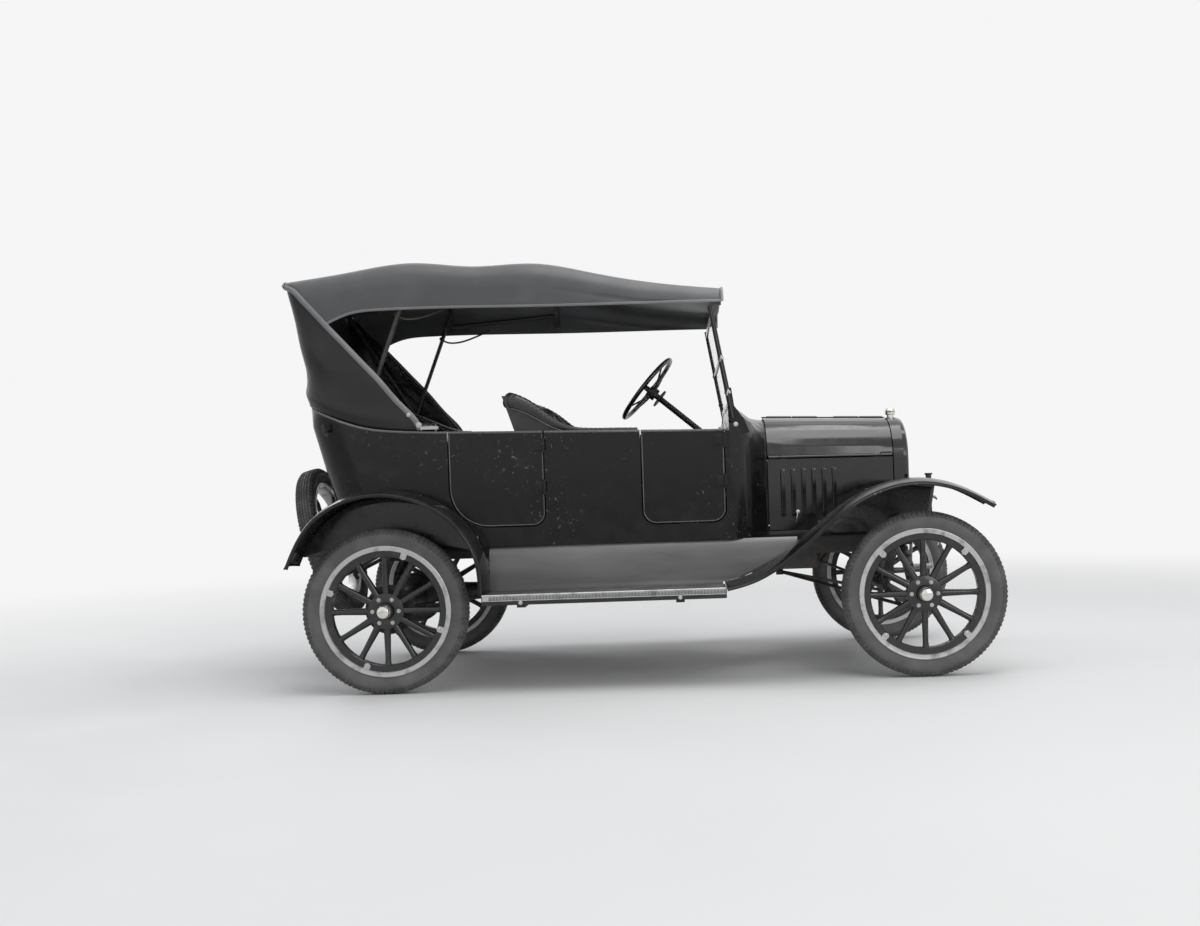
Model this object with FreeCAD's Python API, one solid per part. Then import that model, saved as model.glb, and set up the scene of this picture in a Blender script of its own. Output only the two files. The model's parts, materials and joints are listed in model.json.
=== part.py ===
import FreeCAD
import Part
import math
import os
from FreeCAD import Vector

# An open four-seat touring car of the early 1920s, with its top up.
# All sizes are millimetres. X runs forward, Y to the car's left and Z up.
# The car is drawn with X = 0 midway between the axles and the ground at Z = 0.
# Each piece is moved along X when it is saved, so that the car's box is centred.
# Sizes named "out" are distances from the car's centre plane towards either side.

# Driving sizes of the running gear
wheelbase = 2540.0
overall_width = 1676.0
track = overall_width - 254.0
tyre_radius = 390.0
tyre_width = 92.0
rim_radius = 303.0
rim_half = 33.0
rim_depth = 16.0
felloe_inner = 253.0
felloe_width = 44.0
spoke_count = 12
hub_flange_radius = 84.0
spindle_radius = 15.0
steer_arm = 150.0
king_pin_inset = 118.0
king_pin_radius = 9.0

# Fits and gaps
running_fit = 0.05
seat_gap = 0.3
move_gap = 5.0

# Chassis
rail_outer = 300.0
rail_width = 34.0
rail_height = 72.0
rail_rear = -1340.0
rail_front = 1290.0
leaf_thick = 9.0
engine_low = 480.0

# Starting crank and lamp brackets
crank_z = 636.0
crank_rear = 1180.0
crank_front = 1340.0
crank_radius = 9.0
crank_arm = 185.0
crank_grip = 118.0
lamp_x = 1366.0
lamp_out = 400.0
lamp_top = 956.0
lamp_socket_radius = 14.0
lamp_bore_radius = 8.0
lamp_bore_depth = 42.0

# Body tub
body_bottom = 672.0
body_half_low = 600.0
body_half_high = 608.0
body_back_low = -1501.0
body_back_bend = -1664.0
body_back_top = -1672.0
body_bend_z = 1279.0
body_top_z = 1440.0
body_corner = 190.0
wall = 28.0
floor_thick = 18.0
belt_front_z = 1200.0
belt_rear_z = 1231.0
belt_level_end = -1004.0
cowl_start = 378.0
firewall_front = 571.0
firewall_thick = 8.0
cowl_wall = 8.0

# Doors
front_door_rear = -49.0
front_door_front = 354.0
front_door_bottom = 755.0
rear_door_rear = -975.0
rear_door_front = -515.0
rear_door_bottom = 765.0
front_door_corner = 66.0
rear_door_front_corner = 62.0
rear_door_rear_corner = 190.0
hinge_radius = 9.0
hinge_pin = 4.0
hinge_length = 46.0
hinge_low_z = 952.0
hinge_high_z = 1150.0
hinge_out = 621.0
press_width = 4.0

# Hood and radiator
hood_rear = 576.0
hood_front = 1209.0
hood_sheet = 4.0
hood_bottom = 694.0
hood_rear_half = 328.0
hood_front_half = 292.0
hood_rear_top = 1271.0
hood_front_top = 1251.0
hood_rear_side_z = 1059.0
hood_front_side_z = 1054.0
hood_hinge_rod = 4.0
hood_barrel = 8.0
shelf_inner = 286.0
shelf_outer = 336.0
radiator_back = 1214.0
radiator_front = 1291.0
radiator_bottom = 672.0
radiator_wall = 6.0
louvre_count = 6
louvre_first = 652.0
louvre_pitch = 52.0
louvre_low = 770.0
louvre_high = 990.0
louvre_rise = 6.0
cap_x = 1248.0

# Windshield
screen_half = 569.0
screen_foot_x = 388.0
screen_foot_z = 1318.0
screen_lean = 9.8
screen_height = 462.0
screen_split = 226.0
screen_bar = 16.0
glass_thick = 5.0

# Fenders, running boards and aprons
fender_sheet = 3.0
fender_crown = 18.0
fender_lip = 12.0
front_fender_inner = overall_width / 2 - 253.0
rear_fender_inner = overall_width / 2 - 234.0
board_top = 458.0
board_depth = 48.0
board_inner = overall_width / 2 - 216.0
board_rear = -802.0
board_front = 336.0
apron_sheet = 3.0
apron_rear = 690.0
apron_front = 1370.0
fender_steps = 16

# Seats
front_seat_base_rear = -560.0
front_seat_base_front = -130.0
front_seat_base_top = 930.0
rear_seat_base_front = -1010.0
rear_seat_base_top = 905.0
cushion_thick = 145.0
seat_board = 12.0

# Steering column, from the wheel's hub down to the frame
hub_point = Vector(-34.0, 320.0, 1467.0)
column_dir = Vector(0.7605, -0.056, -0.6475)
steering_wheel_radius = 215.0
steering_rim = 14.0
column_tube = 16.0
hub_length = 62.0
column_length = 1080.0
shaft_radius = 10.0
pitman_reach = 252.0
tie_rod_z = 392.0
tie_rod_radius = 9.0
tie_ball_out = 500.0
open_eye = 36.0

# Top
top_sheet = 7.0
top_half = 590.0
valance_z = 1820.0
roof_front = 364.0
roof_rear = -1755.0
bow_radius = 11.0
body_socket_z = 1296.0

# Spare tyre
spare_x = -1707.0
spare_z = 700.0
spare_lean = 14.7

# Fuel tank under the front seat
tank_radius = 108.0

# Worked-out places
front_x = wheelbase / 2
rear_x = -wheelbase / 2
wheel_out = track / 2
king_pin_out = wheel_out - king_pin_inset
half_width = overall_width / 2
fender_tip_x = 1592.0
floor_top = body_bottom + floor_thick
rail_top = body_bottom
rail_bottom = rail_top - rail_height
column_dir.normalize()

pieces_made = {}


def save(name, shape):
    pieces_made[name] = shape


def block(x0, x1, y0, y1, z0, z1):
    corner = Vector(min(x0, x1), min(y0, y1), min(z0, z1))
    return Part.makeBox(abs(x1 - x0), abs(y1 - y0), abs(z1 - z0), corner)


def mirrored(shape):
    return shape.mirror(Vector(0, 0, 0), Vector(0, 1, 0))


def both(shape):
    return [shape, mirrored(shape)]


def fuse(pieces):
    whole = pieces[0].multiFuse(pieces[1:]) if len(pieces) > 1 else pieces[0]
    return whole.removeSplitter()


def group(pieces):
    solids = []
    for piece in pieces:
        solids.extend(piece.Solids)
    return Part.makeCompound(solids)


def rod(start, end, radius, end_radius=None):
    line = end - start
    if end_radius is None:
        return Part.makeCylinder(radius, line.Length, start, line)
    return Part.makeCone(radius, end_radius, line.Length, start, line)


def bar(points, radius, sides=8, end_radius=None):
    # A bar with flat sides, mitred where it bends
    ways = []
    for start, end in zip(points[:-1], points[1:]):
        way = end - start
        way.normalize()
        ways.append(way)
    across = ways[0].cross(Vector(0.31, 0.17, 0.93))
    across.normalize()
    up = ways[0].cross(across)
    ring = []
    for number in range(sides):
        angle = 2 * math.pi * (number + 0.5) / sides
        ring.append(points[0] + across * (radius * math.cos(angle)) + up * (radius * math.sin(angle)))
    rings = [ring]
    for number, point in enumerate(points[1:]):
        way = ways[number]
        normal = way + ways[min(number + 1, len(ways) - 1)]
        normal.normalize()
        moved = []
        for corner in rings[-1]:
            reach = (point - corner).dot(normal) / way.dot(normal)
            moved.append(corner + way * reach)
        rings.append(moved)
    if end_radius is not None:
        rings[-1] = [points[-1] + (corner - points[-1]) * (end_radius / radius) for corner in rings[-1]]
    faces = [Part.Face(Part.makePolygon(end + end[:1])) for end in (rings[0], rings[-1])]
    for low, high in zip(rings[:-1], rings[1:]):
        for number in range(sides):
            after = (number + 1) % sides
            corners = [low[number], low[after], high[after], high[number], low[number]]
            faces.append(Part.Face(Part.makePolygon(corners)))
    solid = Part.makeSolid(Part.makeShell(faces))
    if solid.Volume < 0:
        solid.reverse()
    return solid


def side_plate(points, y0, y1):
    # A flat plate whose outline is given as (x, z) pairs
    wire = Part.makePolygon([Vector(x, y0, z) for x, z in points + points[:1]])
    return Part.Face(wire).extrude(Vector(0, y1 - y0, 0))


def cross_plate(points, x0, x1):
    # A bar along X whose section is given as (y, z) pairs
    wire = Part.makePolygon([Vector(x0, y, z) for y, z in points + points[:1]])
    return Part.Face(wire).extrude(Vector(x1 - x0, 0, 0))


def faceted(points, count):
    # The corners of a polyline that follows the smooth curve through these points
    curve = Part.BSplineCurve()
    curve.interpolate(points)
    first = curve.FirstParameter
    step = (curve.LastParameter - first) / count
    return [curve.value(first + step * number) for number in range(count + 1)]


def closed(points):
    return Part.makePolygon(points + points[:1])


# Wheels and tyres, drawn about the origin with the axle along Y, outside towards -Y

def tyre_shape():
    half = tyre_width / 2
    bead = rim_radius + seat_gap
    foot = 26.0
    section = [
        (-foot, bead), (-half, bead + 42), (-half + 14, tyre_radius), (half - 14, tyre_radius), (half, bead + 42),
        (foot, bead),
    ]
    face = Part.Face(closed([Vector(0, y, z) for y, z in section]))
    return face.revolve(Vector(0, 0, 0), Vector(0, 1, 0), 360)


def rim_ring(inner_radius, inner_half):
    section = [
        (-inner_half, inner_radius), (-rim_half, rim_radius - rim_depth), (-rim_half, rim_radius),
        (rim_half, rim_radius), (rim_half, rim_radius - rim_depth), (inner_half, inner_radius),
    ]
    if inner_half == rim_half:
        section = [(y, max(z, inner_radius)) for y, z in section[1:5]]
    face = Part.Face(closed([Vector(0, y, z) for y, z in section]))
    return face.revolve(Vector(0, 0, 0), Vector(0, 1, 0), 360)


def wheel_shape(first_lug):
    half = felloe_width / 2
    axis = Vector(0, 1, 0)
    pieces = [rim_ring(felloe_inner, half)]
    for number in range(spoke_count):
        angle = 2 * math.pi * number / spoke_count
        way = Vector(math.cos(angle), 0, math.sin(angle))
        pieces.append(bar([way * 58, way * (felloe_inner + 4)], 19.0, 6, 14.0))
    pieces.append(Part.makeCylinder(hub_flange_radius, 44, Vector(0, -22, 0), axis))
    pieces.append(Part.makeCylinder(38, 64, Vector(0, -68, 0), axis))
    pieces.append(Part.makeCylinder(30, 20, Vector(0, -88, 0), axis))
    pieces.append(Part.makeCylinder(46, 40, Vector(0, 20, 0), axis))
    for number in range(4):
        angle = math.radians(first_lug + 90 * number)
        way = Vector(math.cos(angle), 0, math.sin(angle))
        start = way * (felloe_inner + 20)
        lug = Part.makeBox(34, 12, 24, Vector(-17, -half - 10, -12))
        lug.rotate(Vector(0, 0, 0), axis, 90 - math.degrees(angle))
        lug.translate(start)
        pieces.append(lug)
    wheel = fuse(pieces)
    bore = Part.makeCylinder(spindle_radius + running_fit, 150, Vector(0, -70, 0), axis)
    return wheel.cut(bore)


def place_wheel(shape, x, side):
    piece = shape.copy()
    if side > 0:
        piece = mirrored(piece)
    piece.translate(Vector(x, side * wheel_out, tyre_radius))
    return piece


# Front axle, steering knuckles and rods

knuckle_half = 44.0
axle_lug = 18.0


def spring_foot(half_span, low_z, top_z, leaves):
    # Where the longest leaf of a spring ends, as (y, z) on the left
    rise = top_z - low_z
    radius = (half_span ** 2 + rise ** 2) / (2 * rise)
    inner = radius - leaves * leaf_thick
    return inner * half_span / radius, top_z - radius + math.sqrt(inner ** 2 - (inner * half_span / radius) ** 2)


front_spring_sizes = (455.0, 402.0, rail_bottom - seat_gap, 5)
rear_spring_sizes = (555.0, 468.0, rail_bottom + 12 - seat_gap, 5)


def front_axle_shape():
    beam_low = tyre_radius - 92.0
    beam_top = tyre_radius - 50.0
    out = king_pin_out
    section = [
        (-out + 18, tyre_radius - knuckle_half - axle_lug - seat_gap), (-out + 60, beam_low + 6),
        (-430, beam_low), (430, beam_low), (out - 60, beam_low + 6),
        (out - 18, tyre_radius - knuckle_half - axle_lug - seat_gap),
        (out - 18, tyre_radius - knuckle_half - seat_gap), (out - 40, tyre_radius - 44),
        (430, beam_top), (-430, beam_top), (-out + 40, tyre_radius - 44),
        (-out + 18, tyre_radius - knuckle_half - seat_gap),
    ]
    pieces = [cross_plate(section, front_x - 20, front_x + 20)]
    up = Vector(0, 0, 1)
    for side in (-1, 1):
        y = side * out
        low = tyre_radius - knuckle_half - seat_gap - axle_lug
        high = tyre_radius + knuckle_half + seat_gap
        pieces.append(Part.makeCylinder(22, axle_lug, Vector(front_x, y, low), up))
        pieces.append(Part.makeCylinder(22, axle_lug, Vector(front_x, y, high), up))
        pieces.append(Part.makeCylinder(king_pin_radius, high - low + axle_lug + 8, Vector(front_x, y, low - 4), up))
        yoke_inner = y - side * 52
        yoke_outer = y - side * 30
        pieces.append(block(front_x - 14, front_x + 14, yoke_inner, yoke_outer, low, high + axle_lug))
        pieces.append(block(front_x - 14, front_x + 14, yoke_inner, y - side * 10, high, high + axle_lug))
        pieces.append(block(front_x - 14, front_x + 14, yoke_inner, y - side * 10, low, low + axle_lug))
        foot_y, foot_z = spring_foot(*front_spring_sizes)
        perch = Vector(front_x, side * (foot_y - 6), beam_top - 4)
        pieces.append(rod(perch, Vector(perch.x, perch.y, foot_z - seat_gap), 13))
    return fuse(pieces)


def radius_rods(ball, left_end, radius):
    right_end = Vector(left_end.x, -left_end.y, left_end.z)
    knob = Vector(radius + 9, 0, 0)
    return fuse([bar([left_end, ball], radius), bar([right_end, ball], radius), rod(ball - knob, ball + knob, radius + 9)])


def knuckle_shape(side):
    y = side * king_pin_out
    up = Vector(0, 0, 1)
    outward = Vector(0, side, 0)
    low = tyre_radius - knuckle_half
    pieces = [Part.makeCylinder(20, 2 * knuckle_half, Vector(front_x, y, low), up)]
    spindle_start = Vector(front_x, y, tyre_radius)
    pieces.append(Part.makeCylinder(24, 34, spindle_start, outward))
    pieces.append(Part.makeCylinder(spindle_radius, king_pin_inset + 62, spindle_start, outward))
    arm_z = tie_rod_z - 26.0
    pieces.append(block(front_x - steer_arm, front_x, y - 11, y + 11, arm_z, arm_z + 14))
    arm_end = Vector(front_x - steer_arm, y, arm_z)
    pieces.append(Part.makeCylinder(15, 14, arm_end, up))
    pieces.append(Part.makeCylinder(6, 46, arm_end, up))
    knuckle = fuse(pieces)
    bore = Part.makeCylinder(king_pin_radius + running_fit, 200, Vector(front_x, y, low - 20), up)
    return knuckle.cut(bore)


def tie_rod_shape():
    up = Vector(0, 0, 1)
    x = front_x - steer_arm
    out = king_pin_out
    pieces = [rod(Vector(x, -out, tie_rod_z), Vector(x, out, tie_rod_z), tie_rod_radius)]
    for side in (-1, 1):
        pieces.append(Part.makeCylinder(17, 22, Vector(x, side * out, tie_rod_z - 11), up))
    ball_base = Vector(x, -tie_ball_out, tie_rod_z)
    pieces.append(Part.makeCylinder(6, 34, ball_base, up))
    rod_piece = fuse(pieces)
    left_bore = Part.makeCylinder(6 + running_fit, 60, Vector(x, out, tie_rod_z - 30), up)
    right_bore = Part.makeCylinder(9.0, 60, Vector(x, -out, tie_rod_z - 30), up)
    return rod_piece.cut(left_bore).cut(right_bore)


pitman_point = hub_point + column_dir * (column_length + pitman_reach)
pitman_down = column_dir.cross(Vector(0, 1, 0))
pitman_down.normalize()
if pitman_down.z > 0:
    pitman_down = pitman_down * -1
pitman_ball = pitman_point + pitman_down * steer_arm
drag_ball = Vector(front_x - steer_arm, -tie_ball_out, tie_rod_z + 24.0)


def pitman_shape():
    start = hub_point + column_dir * (column_length + 6)
    shaft = rod(start, pitman_point + column_dir * 12, shaft_radius)
    arm = bar([pitman_point, pitman_ball], 10)
    return fuse([shaft, arm, rod(pitman_ball - column_dir * 11, pitman_ball + column_dir * 11, 12)])


def drag_link_shape():
    up = Vector(0, 0, 1)
    line = pitman_ball - drag_ball
    way = Vector(line.x, line.y, line.z)
    way.normalize()
    # The far end stays open, short of the pitman arm's ball, because one eye of the closed linkage has to
    end = pitman_ball - way * open_eye
    start = drag_ball + way * 12
    eye = Part.makeCylinder(15, 18, drag_ball - Vector(0, 0, 9), up)
    link = fuse([bar([start, end], 8), eye])
    return link.cut(Part.makeCylinder(6 + running_fit, 60, drag_ball - Vector(0, 0, 30), up))


def steering_wheel_shape():
    across = Vector(0, 1, 0)
    along = column_dir.cross(across)
    along.normalize()
    across = along.cross(column_dir)
    middle = steering_wheel_radius - steering_rim
    section = []
    for number in range(6):
        angle = math.radians(60 * number)
        reach = middle + steering_rim * math.cos(angle)
        section.append(hub_point + along * reach + column_dir * (steering_rim * math.sin(angle)))
    pieces = [Part.Face(closed(section)).revolve(hub_point, column_dir, 360)]
    for number in range(4):
        angle = math.radians(45 + 90 * number)
        way = along * math.cos(angle) + across * math.sin(angle)
        pieces.append(bar([hub_point + column_dir * 30 + way * 20, hub_point + way * middle], 10, 6))
    pieces.append(rod(hub_point + column_dir * 8, hub_point + column_dir * hub_length, 34))
    pieces.append(rod(hub_point - column_dir * 22, hub_point + column_dir * 12, 14))
    return fuse(pieces)


def steering_column_shape():
    top = hub_point + column_dir * (hub_length + seat_gap)
    tube = rod(top, hub_point + column_dir * column_length, column_tube)
    quadrant = rod(hub_point + column_dir * 84, hub_point + column_dir * 92, 52)
    pieces = [tube, quadrant]
    for way in (Vector(0, 1, 0), Vector(0, -1, 0)):
        end = hub_point + column_dir * 88 + way * 168 - column_dir * 26
        pieces.append(bar([hub_point + column_dir * 88, end], 4, 6))
        pieces.append(bar([end - way * 10, end + way * 10], 10, 6))
    foot_point = hub_point + column_dir * (column_length - 26)
    foot = block(foot_point.x - 24, foot_point.x + 24, foot_point.y - 4, shelf_inner - 2, rail_top, foot_point.z)
    pieces.append(foot)
    column = fuse(pieces)
    end_bore = hub_point + column_dir * (column_length - 60)
    bore = rod(end_bore, end_bore + column_dir * 120, shaft_radius + running_fit)
    return column.cut(bore)


# Chassis

def chassis_shape():
    pieces = []
    for side in (-1, 1):
        y_out = side * rail_outer
        y_in = side * (rail_outer - rail_width)
        pieces.append(block(rail_rear, rail_front, y_out, y_in, rail_bottom, rail_top))
    for x, width in ((rail_rear, 60.0), (rear_x - 30, 60.0), (-420.0, 50.0), (rail_front - 66, 66.0)):
        pieces.append(block(x, x + width, -rail_outer + 4, rail_outer - 4, rail_bottom + 12, rail_top - 12))
    pieces.append(block(front_x - 32, front_x + 20, -rail_outer + 4, rail_outer - 4, rail_bottom, rail_top - 12))
    # Arms that carry the running boards
    for x in (-620.0, 120.0):
        for side in (-1, 1):
            s = side
            low = board_top - board_depth - seat_gap
            points = [
                (s * (rail_outer - 2), rail_bottom + 30), (s * (rail_outer - 2), rail_bottom + 6),
                (s * 560, low - 14), (s * (half_width - 20), low - 14), (s * (half_width - 20), low),
                (s * 566, low),
            ]
            pieces.append(cross_plate(points, x - 20, x + 20))
    way = Vector(1, 0, 0)
    crank_hole = Part.makeCylinder(crank_radius + seat_gap, 200, Vector(rail_front - 150, 0, crank_z), way)
    return fuse(pieces).cut(crank_hole)


def crank_shape():
    start = Vector(crank_rear + seat_gap, 0, crank_z)
    elbow = Vector(crank_front, 0, crank_z)
    turn = math.radians(18)
    grip = elbow + Vector(0, math.sin(turn), -math.cos(turn)) * crank_arm
    shaft = bar([start, elbow, grip, grip + Vector(crank_grip, 0, 0)], crank_radius)
    handle = rod(grip + Vector(14, 0, 0), grip + Vector(crank_grip - 4, 0, 0), 14)
    return fuse([shaft, handle])


def lamp_bracket_shape():
    # A bent iron bar from the frame's front corner, with an upright socket on its end
    foot = Vector(rail_front - 14, -(rail_outer + seat_gap), rail_top - 50)
    elbow = Vector(lamp_x + 6, -lamp_out, 676)
    top = Vector(lamp_x, -lamp_out, lamp_top - 50)
    arm = bar([foot + Vector(0, -8, 0), elbow, top], 10)
    pad = block(foot.x - 24, rail_front, foot.y, foot.y - 10, foot.z - 22, foot.z + 22)
    up = Vector(0, 0, 1)
    socket = Part.makeCylinder(lamp_socket_radius, 58, Vector(lamp_x, -lamp_out, lamp_top - 58), up)
    collar = Part.makeCylinder(lamp_socket_radius + 5, 9, Vector(lamp_x, -lamp_out, lamp_top - 9), up)
    bracket = fuse([arm, pad, socket, collar])
    beyond = block(1000, 1500, foot.y, 0, 500, 900)
    start = Vector(lamp_x, -lamp_out, lamp_top - lamp_bore_depth)
    return bracket.cut(beyond).cut(Part.makeCylinder(lamp_bore_radius, 100, start, up))


def arched_spring(x, half_span, low_z, top_z, leaves):
    rise = top_z - low_z
    radius = (half_span ** 2 + rise ** 2) / (2 * rise)
    centre_z = top_z - radius
    pieces = []
    for number in range(leaves):
        reach = half_span - number * (half_span - 90) / leaves
        inner = radius - (leaves - number) * leaf_thick
        half_angle = math.degrees(math.asin(reach / radius))
        disc = Part.makeCylinder(inner + leaf_thick, 50, Vector(x - 25, 0, centre_z), Vector(1, 0, 0))
        disc = disc.cut(Part.makeCylinder(inner, 50, Vector(x - 25, 0, centre_z), Vector(1, 0, 0)))
        far = 2 * radius
        left = Vector(x - 25, far * math.sin(math.radians(half_angle)), centre_z + far * math.cos(math.radians(half_angle)))
        right = Vector(left.x, -left.y, left.z)
        centre = Vector(x - 25, 0, centre_z)
        wedge = Part.Face(Part.makePolygon([centre, left, Vector(x - 25, 0, centre_z + 3 * radius), right, centre]))
        pieces.append(disc.common(wedge.extrude(Vector(50, 0, 0))))
    return fuse(pieces)


def rear_axle_shape():
    z = tyre_radius
    across = Vector(0, 1, 0)
    pieces = [Part.makeCylinder(114, 120, Vector(rear_x, -60, z), across)]
    pieces.append(Part.makeCylinder(130, 22, Vector(rear_x, -11, z), across))
    for side in (-1, 1):
        way = Vector(0, side, 0)
        pieces.append(Part.makeCone(114, 72, 34, Vector(rear_x, side * 60, z), way))
        pieces.append(Part.makeCone(72, 34, 286, Vector(rear_x, side * 94, z), way))
        pieces.append(Part.makeCylinder(34, wheel_out - 380 - 72, Vector(rear_x, side * 380, z), way))
        pieces.append(Part.makeCylinder(118, 8, Vector(rear_x, side * (wheel_out - 76), z), way))
        pieces.append(Part.makeCylinder(spindle_radius, 146, Vector(rear_x, side * (wheel_out - 80), z), way))
        foot_y, foot_z = spring_foot(*rear_spring_sizes)
        pieces.append(block(rear_x - 18, rear_x + 18, side * (foot_y - 10), side * (foot_y + 14), z, foot_z - seat_gap))
        pieces.append(bar([Vector(rear_x + 20, side * 610, z), Vector(-330, side * 30, z + 62)], 9))
    nose = Vector(-250, 0, z + 74)
    pieces.append(rod(Vector(rear_x + 60, 0, z), nose, 46, 30))
    pieces.append(rod(nose - Vector(30, 0, 0), nose + Vector(30, 0, 0), 44))
    return fuse(pieces)


def engine_shape():
    pieces = [
        block(630, 1120, -122, 122, 640, 1010),
        block(600, 1130, -150, 150, 560, 650),
        block(330, 620, -150, 150, 470, rail_top - 4),
        block(615, 830, -105, 105, engine_low, 600),
        block(700, 1060, -90, 90, 1005, 1040),
    ]
    pieces.append(rod(Vector(-190, 0, 470), Vector(335, 0, 590), 44, 76))
    pieces.append(rod(Vector(1100, 0, crank_z), Vector(crank_rear, 0, crank_z), 40))
    fan = Part.makeCylinder(150, 8, Vector(1152, 0, 880), Vector(1, 0, 0))
    pieces.append(fan)
    pieces.append(rod(Vector(1110, 0, 880), Vector(1154, 0, 880), 16))
    arms = block(430, 480, -(rail_outer - rail_width), rail_outer - rail_width, 620, 645)
    pieces.append(arms)
    return fuse(pieces)


def exhaust_shape():
    y = -205.0
    points = [
        Vector(760, -130, 858), Vector(730, y, 850), Vector(640, y, 700), Vector(540, y, 540),
        Vector(-250, y, 520),
    ]
    pipe = bar(points, 22)
    muffler = rod(Vector(-250, y, 520), Vector(-700, y, 520), 62)
    tail = rod(Vector(-700, y, 520), Vector(-860, y, 512), 17)
    strap_front = block(-330, -310, y - 8, y + 8, 575, rail_bottom + 20)
    return fuse([pipe, muffler, tail, strap_front, block(-330, -310, -(rail_outer - rail_width), y - 8, 590, 606)])


# Body

def tub_outline(z, back, half, corner):
    r = corner
    k = r * math.sqrt(0.5)
    a = Vector(back, -(half - r), z)
    am = Vector(back + r - k, -(half - r) - k, z)
    b = Vector(back + r, -half, z)
    c = Vector(cowl_start, -half, z)
    d = Vector(cowl_start, half, z)
    e = Vector(back + r, half, z)
    em = Vector(back + r - k, half - r + k, z)
    f = Vector(back, half - r, z)
    return Part.Wire([
        Part.Arc(a, am, b).toShape(), Part.makeLine(b, c), Part.makeLine(c, d),
        Part.makeLine(d, e), Part.Arc(e, em, f).toShape(), Part.makeLine(f, a),
    ])


def half_at(z):
    return body_half_low + (body_half_high - body_half_low) * (z - body_bottom) / (body_top_z - body_bottom)


def tub_solid(inset):
    levels = ((body_bottom, body_back_low), (body_bend_z, body_back_bend), (body_top_z, body_back_top))
    wires = []
    for z, back in levels:
        wires.append(tub_outline(z, back + inset, half_at(z) - inset, body_corner - inset))
    return Part.makeLoft(wires, True, True)


cowl_sections = (
    # x, half width, shoulder z, crest z, shoulder inset
    (cowl_start, body_half_high - 2, 1196.0, 1312.0, 50.0),
    (432.0, 586.0, 1190.0, 1304.0, 60.0),
    (492.0, 506.0, 1150.0, 1268.0, 74.0),
    (firewall_front, 332.0, 1062.0, 1257.0, 62.0),
)


def cowl_outline(x, half, shoulder, crest, bend, inset):
    low = half - inset - 4
    side = half - inset
    top = crest - inset
    rise = top - shoulder
    right = [
        Vector(x, -side, shoulder), Vector(x, -(side - bend * 0.42), shoulder + rise * 0.56),
        Vector(x, -(side - bend * 1.9), shoulder + rise * 0.87),
    ]
    left = [Vector(p.x, -p.y, p.z) for p in right[::-1]]
    crown = faceted(right + [Vector(x, 0, top)] + left, 12)
    return closed([Vector(x, -low, body_bottom)] + crown + [Vector(x, low, body_bottom)])


def cowl_solid(inset):
    wires = [cowl_outline(*values, inset) for values in cowl_sections]
    return Part.makeLoft(wires, True, True)


def belt_cutter(drop):
    # Everything above the body's belt line, which climbs round the rear seat
    pts = [
        Vector(belt_level_end, -900, belt_rear_z), Vector(-1224, -900, 1243), Vector(-1374, -900, 1264),
        Vector(-1522, -900, 1315), Vector(-1700, -900, 1400),
    ]
    corners = [Vector(cowl_start, -900, belt_front_z)] + faceted(pts, 10)
    corners += [Vector(-1900, -900, 1400), Vector(-1900, -900, 2200), Vector(cowl_start, -900, 2200)]
    cutter = Part.Face(closed(corners)).extrude(Vector(0, 1800, 0))
    cutter.translate(Vector(0, 0, -drop))
    return cutter


def door_prism(rear, front, bottom, rear_corner, front_corner, gap, side):
    x0 = rear + gap
    x1 = front - gap
    z0 = bottom + gap
    r0 = rear_corner - gap
    r1 = front_corner - gap
    share = 1 - math.sqrt(0.5)
    y = side * 500.0
    rear_mid = Vector(x0 + r0 * share, y, z0 + r0 * share)
    front_mid = Vector(x1 - r1 * share, y, z0 + r1 * share)
    edges = [
        Part.makeLine(Vector(x0, y, 1400), Vector(x0, y, z0 + r0)),
        Part.Arc(Vector(x0, y, z0 + r0), rear_mid, Vector(x0 + r0, y, z0)).toShape(),
        Part.makeLine(Vector(x0 + r0, y, z0), Vector(x1 - r1, y, z0)),
        Part.Arc(Vector(x1 - r1, y, z0), front_mid, Vector(x1, y, z0 + r1)).toShape(),
        Part.makeLine(Vector(x1, y, z0 + r1), Vector(x1, y, 1400)),
        Part.makeLine(Vector(x1, y, 1400), Vector(x0, y, 1400)),
    ]
    return Part.Face(Part.Wire(edges)).extrude(Vector(0, side * 200, 0))


front_door = (front_door_rear, front_door_front, front_door_bottom, front_door_corner, front_door_corner)
rear_door = (rear_door_rear, rear_door_front, rear_door_bottom, rear_door_rear_corner, rear_door_front_corner)
doors = {
    # outline, side; each door hangs on its front edge
    "door_front_right": (front_door, -1),
    "door_rear_right": (rear_door, -1),
    "door_rear_left": (rear_door, 1),
}


hinge_heights = (hinge_low_z, hinge_high_z)
hinge_lug = 11.0


def door_hinge_body(x, side):
    # Two lugs and a pin at each hinge, on the pillar in front of the door
    pieces = []
    up = Vector(0, 0, 1)
    for z in hinge_heights:
        axis = Vector(x, side * hinge_out, z - hinge_length / 2 - hinge_lug - 1)
        pieces.append(Part.makeCylinder(hinge_pin, hinge_length + 2 * hinge_lug + 2, axis, up))
        for low in (axis.z, z + hinge_length / 2 + 1):
            top = low + hinge_lug
            lug = Part.makeCylinder(hinge_radius, hinge_lug, Vector(x, side * hinge_out, low), up)
            foot = block(x, x + 26, side * (hinge_out + 2), side * (half_at(z) - 3), low, top)
            room = block(x - 30, x + move_gap, side * (hinge_out - hinge_radius), side * 500, low, top)
            pieces.extend([lug, foot.cut(room)])
    return pieces


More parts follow.
